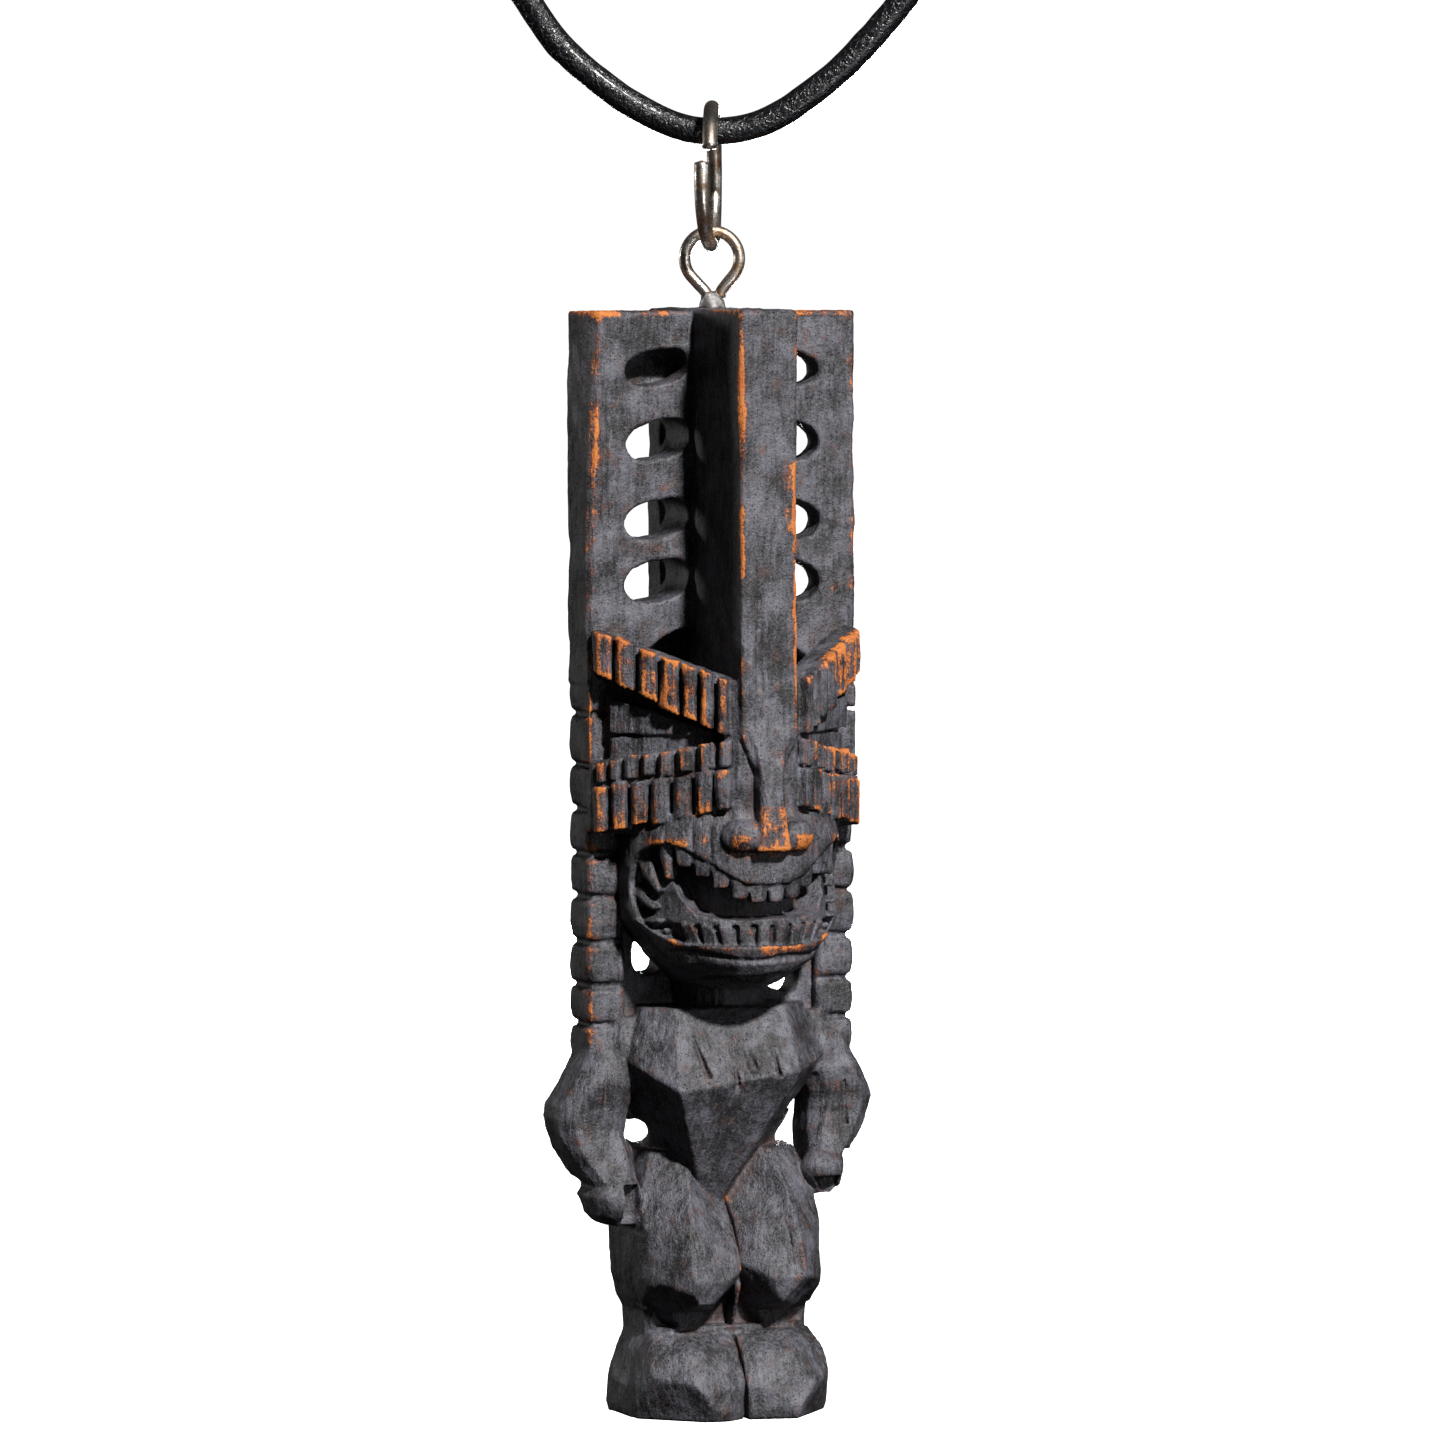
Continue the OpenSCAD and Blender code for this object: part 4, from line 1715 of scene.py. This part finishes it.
@dataclass(frozen=True)
class TarnishedWire:
    """Dull nickel-plated wire with brown tarnish."""

    bright: Colour = tint(222, 216, 208)
    brown: Colour = tint(122, 98, 76)

    def make(self) -> Material:
        """Builds the material.

        Returns:
            The material.
        """
        paint = Paint("tarnished_wire")
        spot = paint.place()
        film = (paint.noise(spot, 0.7, 3.0, 0.6) * 0.75 + paint.noise(spot, 4.0, 2.0) * 0.35).step(0.42, 0.72)
        marks = paint.noise(paint.place((1.0, 1.0, 3.0)), 3.2, 3.0, 0.7)
        return paint.finish({
            "Base Color": paint.mix(film, self.bright, self.brown),
            "Metallic": 1.0,
            "Roughness": 0.2 + film * 0.24 + marks * 0.08,
            "Normal": paint.bump(marks + paint.noise(spot, 1.1, 2.0), 0.035, 0.6),
        })


@dataclass(frozen=True)
class DriedGlue:
    """Cloudy grey glue."""

    pale: Colour = tint(126, 124, 122)
    dark: Colour = tint(58, 55, 54)

    def make(self) -> Material:
        """Builds the material.

        Returns:
            The material.
        """
        paint = Paint("dried_glue")
        spot = paint.place()
        dust_and_glint = paint.noise(spot, 2.2, 4.0, 0.65)
        return paint.finish({
            "Base Color": paint.mix(dust_and_glint.step(0.35, 0.7), self.dark, self.pale),
            "Roughness": 0.3 + dust_and_glint * 0.3,
            "Coat Weight": 0.25,
            "Normal": paint.bump(dust_and_glint, 0.08, 0.7),
        })


@dataclass(frozen=True)
class BlackLeather:
    """Glossy black round leather with a fine crackle and patches of painted blue-grey sheen."""

    black: Colour = tint(9, 9, 12)
    # the blue-grey of the painted sheen patches
    blue_sheen: Colour = tint(24, 28, 36)
    gloss: float = 0.2

    def make(self, name: str = "black_leather") -> Material:
        """Builds the material.

        Args:
            name: the material's name.

        Returns:
            The material.
        """
        paint = Paint(name)
        spot = paint.place()
        wander = paint.noise(spot, 1.3, 3.0, 0.6)
        drift = paint.node("ShaderNodeTexNoise", {}, {"Vector": spot, "Scale": 1.7, "Detail": 2.0})
        warped = paint.node(
            "ShaderNodeVectorMath",
            {"operation": "MULTIPLY_ADD"},
            {0: drift.outputs[1], 1: (0.9, 0.9, 0.9), 2: spot},
        ).outputs[0]
        crackle = paint.cells(warped, 1.7, "DISTANCE_TO_EDGE")
        fine = paint.cells(warped, 5.2, "DISTANCE_TO_EDGE")
        crack = 1 - crackle.step(0.0, 0.16)
        skin = paint.noise(spot, 7.0, 3.0, 0.6)
        # random patches of painted blue-grey sheen on the black
        rubbed = (wander * 0.8 + skin * 0.5).step(0.66, 0.86)
        height = crackle.step(0.0, 0.2) * 0.7 + fine.step(0.0, 0.25) * 0.2 + wander * 0.6
        return paint.finish({
            "Base Color": paint.mix(rubbed * 0.5, self.black, self.blue_sheen),
            "Roughness": self.gloss + crack * 0.2 + skin * 0.12,
            "Specular IOR Level": 0.36,
            "Coat Weight": 0.08,
            "Coat Roughness": 0.15,
            "Normal": paint.bump(height, 0.07, 0.7),
        })


@dataclass(frozen=True)
class PaleFloor:
    """A plain pale backdrop."""

    colour: Colour = tint(244, 243, 241)

    def make(self) -> Material:
        """Builds the material.

        Returns:
            The material.
        """
        paint = Paint("pale_floor")
        cloud = paint.noise(paint.place((0.02, 0.02, 0.02)), 1.0, 2.0)
        shade = paint.mix(cloud * 0.3, self.colour, tint(238, 237, 236))
        return paint.finish({
            "Base Color": shade,
            "Roughness": 0.9,
            "Specular IOR Level": 0.2,
            "Emission Color": shade,
            "Emission Strength": 1.3,
        })


# ---- the carving's skin


class Bare(Enum):
    """Where the stain is rubbed through: a box in millimetres, and how much."""

    BROW_OUTER = ((4.4, -9.8, 49.5), (11.0, -1.9, 57.6), 1.1, 0.06)
    BROW_INNER = ((1.5, -12.0, 49.0), (4.6, -8.0, 54.4), 0.4, 0.0)
    LOWER_CHEEK = ((3.6, -9.9, 41.8), (11.0, -1.9, 46.0), 1.0, 0.07)
    UPPER_CHEEK = ((2.2, -11.0, 46.4), (11.0, -1.9, 49.8), 0.75, 0.0)
    NOSE_TIP = ((-2.9, -13.0, 41.0), (3.4, -10.3, 42.6), 1.1, 0.34)
    NOSE_BRIDGE = ((-1.5, -13.0, 42.5), (1.5, -11.0, 44.6), 0.9, 0.34)
    FIN_LEFT = ((-2.8, -11.6, 61.0), (-1.8, -10.2, 80.5), 1.0, 0.0)
    FIN_LEFT_LOW = ((-2.8, -11.6, 49.0), (-1.8, -10.2, 61.0), 0.4, 0.0)
    FIN_RIGHT = ((1.8, -11.6, 50.0), (2.8, -10.2, 69.5), 0.7, 0.0)
    FIN_RIGHT_TOP = ((1.8, -11.6, 76.0), (2.8, -10.2, 80.5), 1.1, 0.0)
    FIN_SCUFF = ((1.1, -11.6, 64.2), (2.8, -9.6, 69.0), 0.5, 0.34)
    FIN_TOP = ((-2.8, -11.6, 79.2), (2.8, -1.0, 80.5), 0.9, 0.0)
    PLATE_LEFT = ((-10.8, -2.2, 54.0), (-9.2, -1.2, 80.5), 1.0, 0.04)
    PLATE_RIGHT = ((9.8, -2.2, 54.0), (10.8, -1.2, 80.5), 0.6, 0.0)
    PLATE_RUB = ((8.5, -2.3, 59.5), (10.1, -1.5, 60.3), 0.3, 0.32)
    PLATE_TOP = ((-10.8, -2.2, 79.3), (10.8, 2.2, 80.5), 0.62, 0.0)
    UPPER_LIP = ((-6.4, -12.0, 38.6), (-0.2, -7.0, 42.3), 0.5, 0.0)
    LOWER_LIP = ((-6.6, -12.0, 33.4), (6.6, -5.0, 35.0), 0.7, 0.08)
    TEETH = ((-6.2, -11.0, 34.9), (6.2, -6.0, 39.0), 0.34, 0.0)
    BRAID_LEFT = ((-10.8, -2.2, 25.8), (-9.3, -1.0, 54.0), 0.75, 0.06)
    BRAID_RIGHT = ((7.0, -2.4, 25.8), (10.8, -1.0, 54.0), 0.3, 0.0)
    LEG_GAP = ((-0.4, -6.5, 1.0), (0.4, -1.0, 15.8), 0.2, 0.2)
    SHIN_GAP = ((0.4, -5.0, 6.5), (2.4, -3.0, 11.0), 0.3, 0.12)


@dataclass
class Carving:
    """The whole carved figure, in one piece of wood."""

    fine_step: float = 0.15
    quick_step: float = 0.26
    hand_wave: float = 0.1
    tool_marks: float = 0.035
    pin_wire: float = 0.84
    hole_slack: float = 0.03
    headdress: Headdress = field(default_factory=Headdress)
    head: Head = field(default_factory=Head)
    muzzle: Muzzle = field(default_factory=Muzzle)
    braids: Braids = field(default_factory=Braids)
    body: Body = field(default_factory=Body)

    def sculpt(self) -> Sculpture:
        """Carves the figure on its grid.

        Returns:
            The sculpture.
        """
        step = self.fine_step
        carving = Sculpture((-13.2, -13.0, -0.6), (13.2, 6.4, CROWN_MM + 0.8), step)
        for part in (self.headdress, self.head, self.muzzle, self.braids, self.body):
            part.shape(carving)
        self.headdress.cracks(carving)
        carving.carve(self.pin_hole(), 0.05)
        return carving

    def pin_hole(self) -> Shape:
        """The hole that the eye pin's stem is glued into.

        Returns:
            The solid.
        """
        foot = (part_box("eye_pin")[0][2] - SOLE_Z) / MM
        radius = 0.5 * self.pin_wire + self.hole_slack
        return stick((0.0, 0.0, foot - 0.2), (0.0, 0.0, CROWN_MM + 1.0), radius)

    def gain(self, points: Array) -> tuple[Array, Array]:
        """How readily each point's edges are rubbed bare, and how rubbed it is anyway.

        Args:
            points: places in millimetres.

        Returns:
            Two numbers for each place.
        """
        total, rub = np.full(len(points), 0.22), np.zeros(len(points))
        for spot in Bare:
            low, high, amount, constant = spot.value
            inside = np.ones(len(points))
            sided = points.copy()
            if spot.name.startswith(("BROW", "LOWER_CHEEK", "UPPER_CHEEK")):
                sided[:, 0] = np.abs(sided[:, 0])
                inside = smooth_step(CheekFace().local(sided[:, 0], sided[:, 1])[1], -0.2, 0.2)
            for k in range(3):
                inside *= smooth_step(sided[:, k], low[k] - 0.3, low[k] + 0.1)
                inside *= 1 - smooth_step(sided[:, k], high[k] - 0.1, high[k] + 0.3)
            total = np.maximum(total, amount * inside)
            rub = np.maximum(rub, constant * inside)
        return total, rub

    def build(self, wood: Material) -> Object:
        """Skins the carving, roughens it by hand and marks where it is rubbed and where it is hollow.

        Args:
            wood: its finish.

        Returns:
            The carving.
        """
        carving = self.sculpt()
        points, quads = carving.skin()
        piece = lay_mesh("carving", to_frame(points), quads, wood)
        mesh = piece.data
        normals = np.empty(len(points) * 3, np.float32)
        mesh.vertex_normals.foreach_get("vector", normals)
        normals = normals.reshape(-1, 3)
        if float(np.mean(np.sum(normals * (points - points.mean(0)), axis=1))) < 0:
            mesh.flip_normals()
            normals = -normals
        edge = carving.sample(carving.blurred(0.4), points)
        broad = carving.sample(carving.blurred(1.0), points)
        wave = LatticeNoise(7).at(points, (1.7, 1.7, 2.6))
        wave = wave + 0.5 * LatticeNoise(8).at(points, (0.8, 0.8, 1.5))
        marks = LatticeNoise(9).at(points, (0.34, 0.34, 1.3))
        marks = marks + 0.7 * LatticeNoise(10).at(points, (0.3, 0.3, 0.4))
        calm = 1 - smooth_step(np.abs(edge), 0.08, 0.2)
        shift = self.hand_wave * wave * (0.35 + 0.65 * calm) + self.tool_marks * marks
        shift = shift * smooth_step(points[:, 2], 0.05, 0.8)
        moved = points + normals * shift[:, None]
        moved[:, 2] = np.maximum(moved[:, 2], 0.0)
        mesh.vertices.foreach_set("co", to_frame(moved).astype(np.float32).ravel())
        readily, rub = self.gain(points)
        patchy = 0.62 + 0.5 * LatticeNoise(12).at(points, (2.2, 2.2, 3.4))
        patchy = patchy + 0.3 * LatticeNoise(13).at(points, (0.9, 0.9, 1.6))
        wear = np.clip(edge / 0.13, 0, 1.3) * readily * np.clip(patchy, 0.0, 1.2) + rub
        hollow = np.clip(-broad / 0.4, 0, 1)
        for name, values in (("wear", wear), ("hollow", hollow)):
            layer = mesh.attributes.new(name, "FLOAT", "POINT")
            layer.data.foreach_set("value", values.astype(np.float32))
        mesh.update()
        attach(piece, "figure")
        nodes = [n for n in frame["nodes"] if body_of(n) == "figure" and n not in ("eye_pin", "glue_bead")]
        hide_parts(*nodes)
        LOG.info("carving: %d faces for %d regions", len(quads), len(nodes))
        return piece


def body_of(node: str) -> str:
    """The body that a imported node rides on.

    Args:
        node: the node's name.

    Returns:
        The body's name.
    """
    for name, body in frame["record"]["behaviour"]["bodies"].items():
        members = body["nodes"] if isinstance(body, dict) else body
        if node in members:
            return name
    return "root"


# ---- cord


@dataclass
class NeckCord:
    """The round leather cord, folded into a tied hank above the ring."""

    radius: float = 1.0
    run_x: float = 5.0
    bend_high: float = 156.0
    bend_low: float = 136.0
    tie_z: float = 146.0
    hang_route: tuple[Pair, ...] = (
        (-5, 142), (-5.5, 137.5), (-7.25, 133.5), (-10, 129), (-13, 124.5), (-15.5, 120), (-17, 115.5),
        (-17.25, 111), (-16, 106.5), (-13.5, 102.5), (-11.5, 99.5), (-9.5, 97.5), (-7, 95.5), (-4.5, 94),
        (-2, 93), (0, 92.75), (2.5, 93), (4.5, 93.75), (6.5, 95), (9, 97), (11, 99), (14, 102.5),
        (16.5, 106.5), (17.5, 111), (17, 115.5), (15.5, 120), (13, 124.5), (10, 129), (7.25, 133.5),
        (5.5, 137.5), (5, 142),
    )

    def turned(self, points: Sequence[Point]) -> Array:
        """Points given across, up and in depth, turned to the way the cord hangs.

        Args:
            points: distance across, height above the soles, and depth.

        Returns:
            The points in metres in the frame.
        """
        across = (math.cos(HANG_TURN), math.sin(HANG_TURN))
        back = (-math.sin(HANG_TURN), math.cos(HANG_TURN))
        spots = [(s * across[0] + d * back[0], s * across[1] + d * back[1], z) for s, z, d in points]
        return to_frame(np.array(spots))

    def strand(self) -> list[Point]:
        """The right-hand half, from the ring up and through the hank to the knot.

        Returns:
            Its points: distance across, height and depth.
        """
        half = [(float(s), float(z), 0.0) for s, z in self.hang_route if s > 0.1]
        depth = {129: 0.3, 133.5: 0.8, 137.5: 1.0, 142: 1.0}
        line = [(s, z, depth.get(z, 0.0)) for s, z, _ in half]
        x = self.run_x
        layer = 1.0
        for _ in range(2):
            line += [(x, z, layer) for z in (146.0, 150.0, 153.5)]
            line += self.bend(self.bend_high, 1, layer, layer)
            line += [(-x, z, layer) for z in (153.5, 150.0, 146.0, 142.0, 138.5)]
            line += self.bend(self.bend_low, -1, layer, layer + 2)
            layer += 2
            line += [(x, z, layer) for z in (138.5, 142.0)]
        line += [(x, z, layer) for z in (146.0, 150.0, 154.0)]
        line += [(4.8, 158.0, 4.7), (4.0, 161.2, 3.8), (2.4, 163.6, 2.4), (0.9, 164.8, 0.9)]
        return line

    def bend(self, centre: float, way: int, first: float, last: float) -> list[Point]:
        """A half turn between the runs, above or below them.

        Args:
            centre: the height of its middle.
            way: 1 for the top and -1 for the bottom.
            first: the depth it starts at.
            last: the depth it ends at.

        Returns:
            Its points.
        """
        out = []
        for i in range(9):
            a = math.pi * i / 8
            t = i / 8
            ease = t * t * (3 - 2 * t)
            s = self.run_x * math.cos(a) * way
            out.append((s, centre + way * self.run_x * math.sin(a), first + (last - first) * ease))
        return out

    def whole(self) -> Array:
        """The cord's centre line, knot to knot, in metres.

        Returns:
            The line's points.
        """
        right = self.strand()
        left = [(-s, z, -d) for s, z, d in right]
        for i, (s, z) in enumerate([(s, z) for s, z in self.hang_route if s < -0.1][::-1]):
            left[i] = (s, z, left[i][2])
        middle = [(0.0, 92.75, 0.0)]
        return fine_line(self.turned(left[::-1] + middle + right), (0.2) * MM)

    def build(self, leather: Material) -> Object:
        """Args:
            leather: its finish.

        Returns:
            The cord.
        """
        line = self.whole()
        sides = 16
        tube = Tube(self.radius * MM, sides)
        run = run_along(line) / MM
        turn = np.linspace(0, 2 * math.pi, sides, endpoint=False)
        spots = np.broadcast_arrays(run[:, None], 0.9 * np.cos(turn), 0.9 * np.sin(turn))
        spots = np.stack(spots, axis=-1).reshape(-1, 3)
        folds = LatticeNoise(21).at(spots, (1.0, 1.1, 1.1)).reshape(len(line), sides)
        lumps = LatticeNoise(22).at(spots, (2.6, 1.2, 1.2)).reshape(len(line), sides)
        points, faces = tube.skin(line, 0.99 + 0.028 * folds + 0.03 * lumps)
        piece = lay_mesh("neck_cord", points, faces, leather)
        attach(piece, "cord")
        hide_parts("cord_strand", "cord_hank")
        2 * self.radius * MM
        return piece

    def knot(self, leather: Material) -> Object:
        """The overhand knot that joins both ends.

        Args:
            leather: its finish.

        Returns:
            The knot.
        """
        low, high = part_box("cord_knot")
        middle = (low + high) / 2
        turn = np.linspace(0, 2 * math.pi, 145)
        x = np.sin(turn) + 2 * np.sin(2 * turn)
        y = np.cos(turn) - 2 * np.cos(2 * turn)
        z = -np.sin(3 * turn)
        line = np.stack([x * 0.62, z * 0.95, y * 0.62 - 0.1], axis=1) * MM
        line[:, 2] *= 0.98
        c, s = math.cos(HANG_TURN), math.sin(HANG_TURN)
        across, deep = line[:, 0] * c - line[:, 1] * s, line[:, 0] * s + line[:, 1] * c
        spun = np.stack([across, deep, line[:, 2]], 1)
        spun += np.array(middle)
        sides = 16
        points, faces = Tube(0.98 * MM, sides).skin(spun[:-1])
        last = (len(spun) - 2) * sides
        faces = faces[:-2] + [(last + k, last + (k + 1) % sides, (k + 1) % sides, k) for k in range(sides)]
        piece = lay_mesh("overhand_knot", points, faces, leather)
        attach(piece, "cord")
        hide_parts("cord_knot")
        LOG.info("overhand_knot: made")
        return piece

    def tie(self, leather: Material) -> Object:
        """The strip that holds the hank together.

        Args:
            leather: its finish.

        Returns:
            The tie.
        """
        runs, reach = [(5.0, 5.0), (-5.0, 3.0), (-5.0, -5.0), (5.0, -3.0)], 1.38
        spots = []
        for k, (cx, cy) in enumerate(runs):
            (bx, by), (ax, ay) = runs[k - 1], runs[(k + 1) % 4]
            first = math.atan2(bx - cx, cy - by)
            swing = (math.atan2(cx - ax, ay - cy) - first) % (2 * math.pi)
            for i in range(9):
                a = first + swing * i / 8
                spots.append((cx + reach * math.cos(a), cy + reach * math.sin(a), math.cos(a), math.sin(a)))
        section = [
            (-0.35, -1.9), (0.3, -1.9), (0.42, -1.6), (0.42, -0.6),
            (0.46, 0.4), (0.42, 1.6), (0.3, 1.9), (-0.35, 1.9),
        ]
        noise = LatticeNoise(44)
        points, faces = [], []
        m = len(section)
        for px, py, nx, ny in spots:
            for off, up in section:
                wave = 0.12 * float(noise.at(np.array([[px, py, 0.0]]), (2.5, 2.5, 2.5))[0])
                points.append((px + nx * off, self.tie_z + up + wave, py + ny * off))
        for i in range(len(spots)):
            j = (i + 1) % len(spots)
            faces += [(i * m + k, j * m + k, j * m + (k + 1) % m, i * m + (k + 1) % m) for k in range(m)]
        piece = lay_mesh("hank_tie", self.turned(points), faces, leather)
        bevel = piece.modifiers.new("soft", "SUBSURF")
        bevel.levels = bevel.render_levels = 2
        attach(piece, "cord")
        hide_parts("cord_tie")
        LOG.info("hank_tie: made")
        return piece


# ---- metal fittings


@dataclass
class Fittings:
    """The open jump ring, the eye pin and the glue at the pin's foot."""

    ring_wire: float = 1.1
    ring_radius: float = 4.95
    ring_turn: float = 66.0
    sprung: float = 6.5
    gap: Pair = (157.0, 167.0)
    pin_wire: float = 0.84
    eye_radius: float = 1.98
    neck_drop: float = 3.0

    def ring_middle(self) -> float:
        """The ring's middle, in millimetres above the soles."""
        low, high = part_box("jump_ring")
        return (0.5 * (low[2] + high[2]) - SOLE_Z) / MM

    def jump_ring(self, wire: Material) -> Object:
        """An open ring, its lower front end sprung sideways.

        Args:
            wire: its finish.

        Returns:
            The ring.
        """
        turn = np.radians(np.linspace(self.gap[1], self.gap[0] + 360, 161))
        degrees = np.degrees(turn)
        ease = smooth_step(degrees, 235.0, 300.0)
        spin = np.radians(self.ring_turn - self.sprung * (1 - ease))
        out = self.ring_radius * np.cos(turn)
        height = self.ring_middle() + self.ring_radius * np.sin(turn)
        line = np.stack([out * np.cos(spin), out * np.sin(spin), height], 1)
        sides = 20
        nicks = LatticeNoise(61).at(line, (0.9, 0.9, 0.9))
        swell = 1 + 0.012 * nicks[:, None] * np.ones((1, sides))
        points, faces = Tube(0.5 * self.ring_wire * MM, sides, 0.12 * MM).skin(to_frame(line), swell)
        piece = lay_mesh("open_ring", points, faces, wire)
        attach(piece, "ring")
        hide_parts("jump_ring")
        LOG.info("open_ring: made")
        return piece

    def eye_line(self) -> Array:
        """The pin's centre line, from the foot of its stem round the eye and back to the neck.

        Returns:
            Its points, in millimetres above the soles.
        """
        low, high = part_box("eye_pin")
        top = (high[2] - SOLE_Z) / MM
        eye_z = top - self.eye_radius - self.pin_wire / 2
        foot = (low[2] - SOLE_Z) / MM
        neck = eye_z - self.neck_drop
        away = math.degrees(math.acos(self.eye_radius / self.neck_drop))
        spots = [(0.0, foot + 0.01), (0.0, foot + 3), (0.0, neck - 1.2), (0.02, neck - 0.35)]
        spots += [(0.42, neck + 0.5), (0.95, neck + 1.1)]
        for a in np.linspace(away - 90, 270 - away, 33):
            rad = math.radians(a)
            spots.append((self.eye_radius * math.cos(rad), eye_z + self.eye_radius * math.sin(rad)))
        spots += [(-1.05, neck + 1.15), (-0.66, neck + 0.6), (-0.55, neck + 0.1)]
        c, s = math.cos(HANG_TURN), math.sin(HANG_TURN)
        return np.array([(-x * c, -x * s, z) for x, z in spots])

    def eye_pin(self, wire: Material) -> Object:
        """The pin whose eye stands on the headdress.

        Args:
            wire: its finish.

        Returns:
            The pin.
        """
        line = fine_line(to_frame(self.eye_line()), 0.12 * MM)
        points, faces = Tube(0.5 * self.pin_wire * MM, 18, 0.1 * MM).skin(line)
        piece = lay_mesh("eye_of_wire", points, faces, wire)
        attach(piece, "figure")
        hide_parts("eye_pin")
        LOG.info("eye_of_wire: made")
        return piece

    def glue(self, glue: Material) -> Object:
        """The lump of glue round the pin's foot.

        Args:
            glue: its finish.

        Returns:
            The lump.
        """
        low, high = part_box("glue_bead")
        reach = (high[0] - low[0]) / 2 / MM
        points = []
        rows, sides = 9, 40
        noise = LatticeNoise(77)
        for i in range(rows):
            t = i / (rows - 1)
            radius = reach * (1 - 0.62 * t**1.7)
            height = 1.25 * math.sin(t * math.pi / 2)
            for k in range(sides):
                a = 2 * math.pi * k / sides
                spot = np.array([[radius * math.cos(a), radius * math.sin(a), height]])
                lump = 1 + 0.16 * float(noise.at(spot, (0.5, 0.5, 0.5))[0])
                points.append((spot[0, 0] * lump, spot[0, 1] * lump, CROWN_MM - 0.04 + height * lump))
        piece = lay_mesh("glue_lump", to_frame(np.array(points)), closed_rings(rows, sides), glue)
        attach(piece, "figure")
        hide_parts("glue_bead")
        LOG.info("glue_lump: made")
        return piece


# ---- studio


@dataclass(frozen=True)
class Lamp:
    """One soft lamp, aimed at the carving."""

    name: str
    spot: Point
    size: float
    power: float
    colour: Point = (1.0, 1.0, 1.0)
    gloss_only: bool = False


@dataclass
class Studio:
    """The camera, the pale floor and the lamps."""

    turn: float = -22.0
    lift: float = 3.5
    away: float = 0.6
    lens: float = 206.2
    aim_across: float = 0.76
    aim_height: float = 50.0
    floor_drop: float = 0.045
    room_light: float = 0.025
    backdrop_light: float = 1.06
    lamps: tuple[Lamp, ...] = (
        Lamp("key", (0.085, -0.77, 0.62), 0.07, 26.5, (1.0, 0.98, 0.95)),
        Lamp("side", (-0.60, 0.62, 0.10), 0.14, 1.4, (1.0, 0.97, 0.94)),
        Lamp("back", (0.40, 0.85, -0.06), 0.30, 9.0, (0.95, 0.97, 1.0)),
        Lamp("fill", (0.75, -0.38, 0.16), 0.40, 0.6, (0.84, 0.9, 1.0)),
        Lamp("bounce", (0.12, -0.74, -0.36), 0.30, 2.6, (0.95, 0.97, 1.0)),
        Lamp("card", (0.30, -0.86, 0.12), 0.40, 1.6, (1.0, 1.0, 1.0), True),
    )

    def aim(self) -> Vector:
        """The point that the camera looks at."""
        c, s = math.cos(HANG_TURN), math.sin(HANG_TURN)
        return Vector((self.aim_across * c * MM, self.aim_across * s * MM, SOLE_Z + self.aim_height * MM))

    def camera(self) -> None:
        """Sets the camera."""
        a, e = math.radians(self.turn), math.radians(self.lift)
        back = Vector((math.sin(a) * math.cos(e), -math.cos(a) * math.cos(e), math.sin(e)))
        data = bpy.data.cameras.new("camera")
        data.sensor_width = 36.0
        data.lens = self.lens
        data.clip_start = 0.01
        spot = bpy.data.objects.new("camera", data)
        spot.location = self.aim() + back * self.away
        spot.rotation_euler = (-back).to_track_quat("-Z", "Y").to_euler()
        bpy.context.scene.collection.objects.link(spot)
        bpy.context.scene.camera = spot

    def light(self) -> None:
        """Hangs the lamps, then sets the world's own light."""
        for lamp in self.lamps:
            data = bpy.data.lights.new(lamp.name, "AREA")
            data.shape = "DISK"
            data.size = lamp.size
            data.energy = lamp.power
            data.color = lamp.colour
            spot = bpy.data.objects.new(lamp.name, data)
            spot.visible_diffuse = not lamp.gloss_only
            spot.location = self.aim() + Vector(lamp.spot)
            spot.rotation_euler = (-Vector(lamp.spot)).to_track_quat("-Z", "Y").to_euler()
            bpy.context.scene.collection.objects.link(spot)
        self.light_world()

    def light_world(self) -> None:
        """Makes the white backdrop, which gives little light of its own."""
        world = bpy.data.worlds.new("studio")
        bpy.context.scene.world = world
        tree = NodeTree(world)
        seen = tree.node("ShaderNodeLightPath").outputs["Is Camera Ray"]
        values = {"Value": seen, "To Min": self.room_light, "To Max": self.backdrop_light}
        strength = tree.node("ShaderNodeMapRange", {}, values).outputs[0]
        values = {"Color": (0.99, 0.995, 1.0, 1.0), "Strength": strength}
        glow = tree.node("ShaderNodeBackground", {}, values).outputs[0]
        tree.node("ShaderNodeOutputWorld", {}, {"Surface": glow})
        bpy.context.scene.view_settings.view_transform = "Standard"

    def floor(self, paper: Material) -> None:
        """Lays the pale floor under the hanging carving.

        Args:
            paper: its finish.
        """
        reach, rings, sides = 3.0, 12, 48
        points = [(0.0, 0.0, SOLE_Z - self.floor_drop)]
        for i in range(1, rings + 1):
            r = reach * (i / rings) ** 2
            for k in range(sides):
                a = 2 * math.pi * k / sides
                points.append((r * math.cos(a), r * math.sin(a), SOLE_Z - self.floor_drop))
        faces: list = [(0, 1 + k, 1 + (k + 1) % sides) for k in range(sides)]
        for i in range(rings - 1):
            a, b = 1 + i * sides, 1 + (i + 1) * sides
            faces += [(a + k, b + k, b + (k + 1) % sides, a + (k + 1) % sides) for k in range(sides)]
        piece = lay_mesh("pale_floor", np.array(points), faces, paper)
        piece.visible_diffuse = False
        piece.visible_glossy = False


# ---- making it all


def main() -> None:
    """Builds the camera, the cord, the fittings and the carving, in that order."""
    studio = Studio()
    studio.camera()
    cord = NeckCord()
    leather = BlackLeather().make()
    cord.build(leather)
    cord.knot(leather)
    cord.tie(BlackLeather(gloss=0.42).make("tie_leather"))
    fittings = Fittings()
    wire = TarnishedWire().make()
    fittings.jump_ring(wire)
    fittings.eye_pin(wire)
    fittings.glue(DriedGlue().make())
    Carving().build(StainedWood().make())
    studio.light()
    studio.floor(PaleFloor().make())


if __name__ == "__main__":
    main()
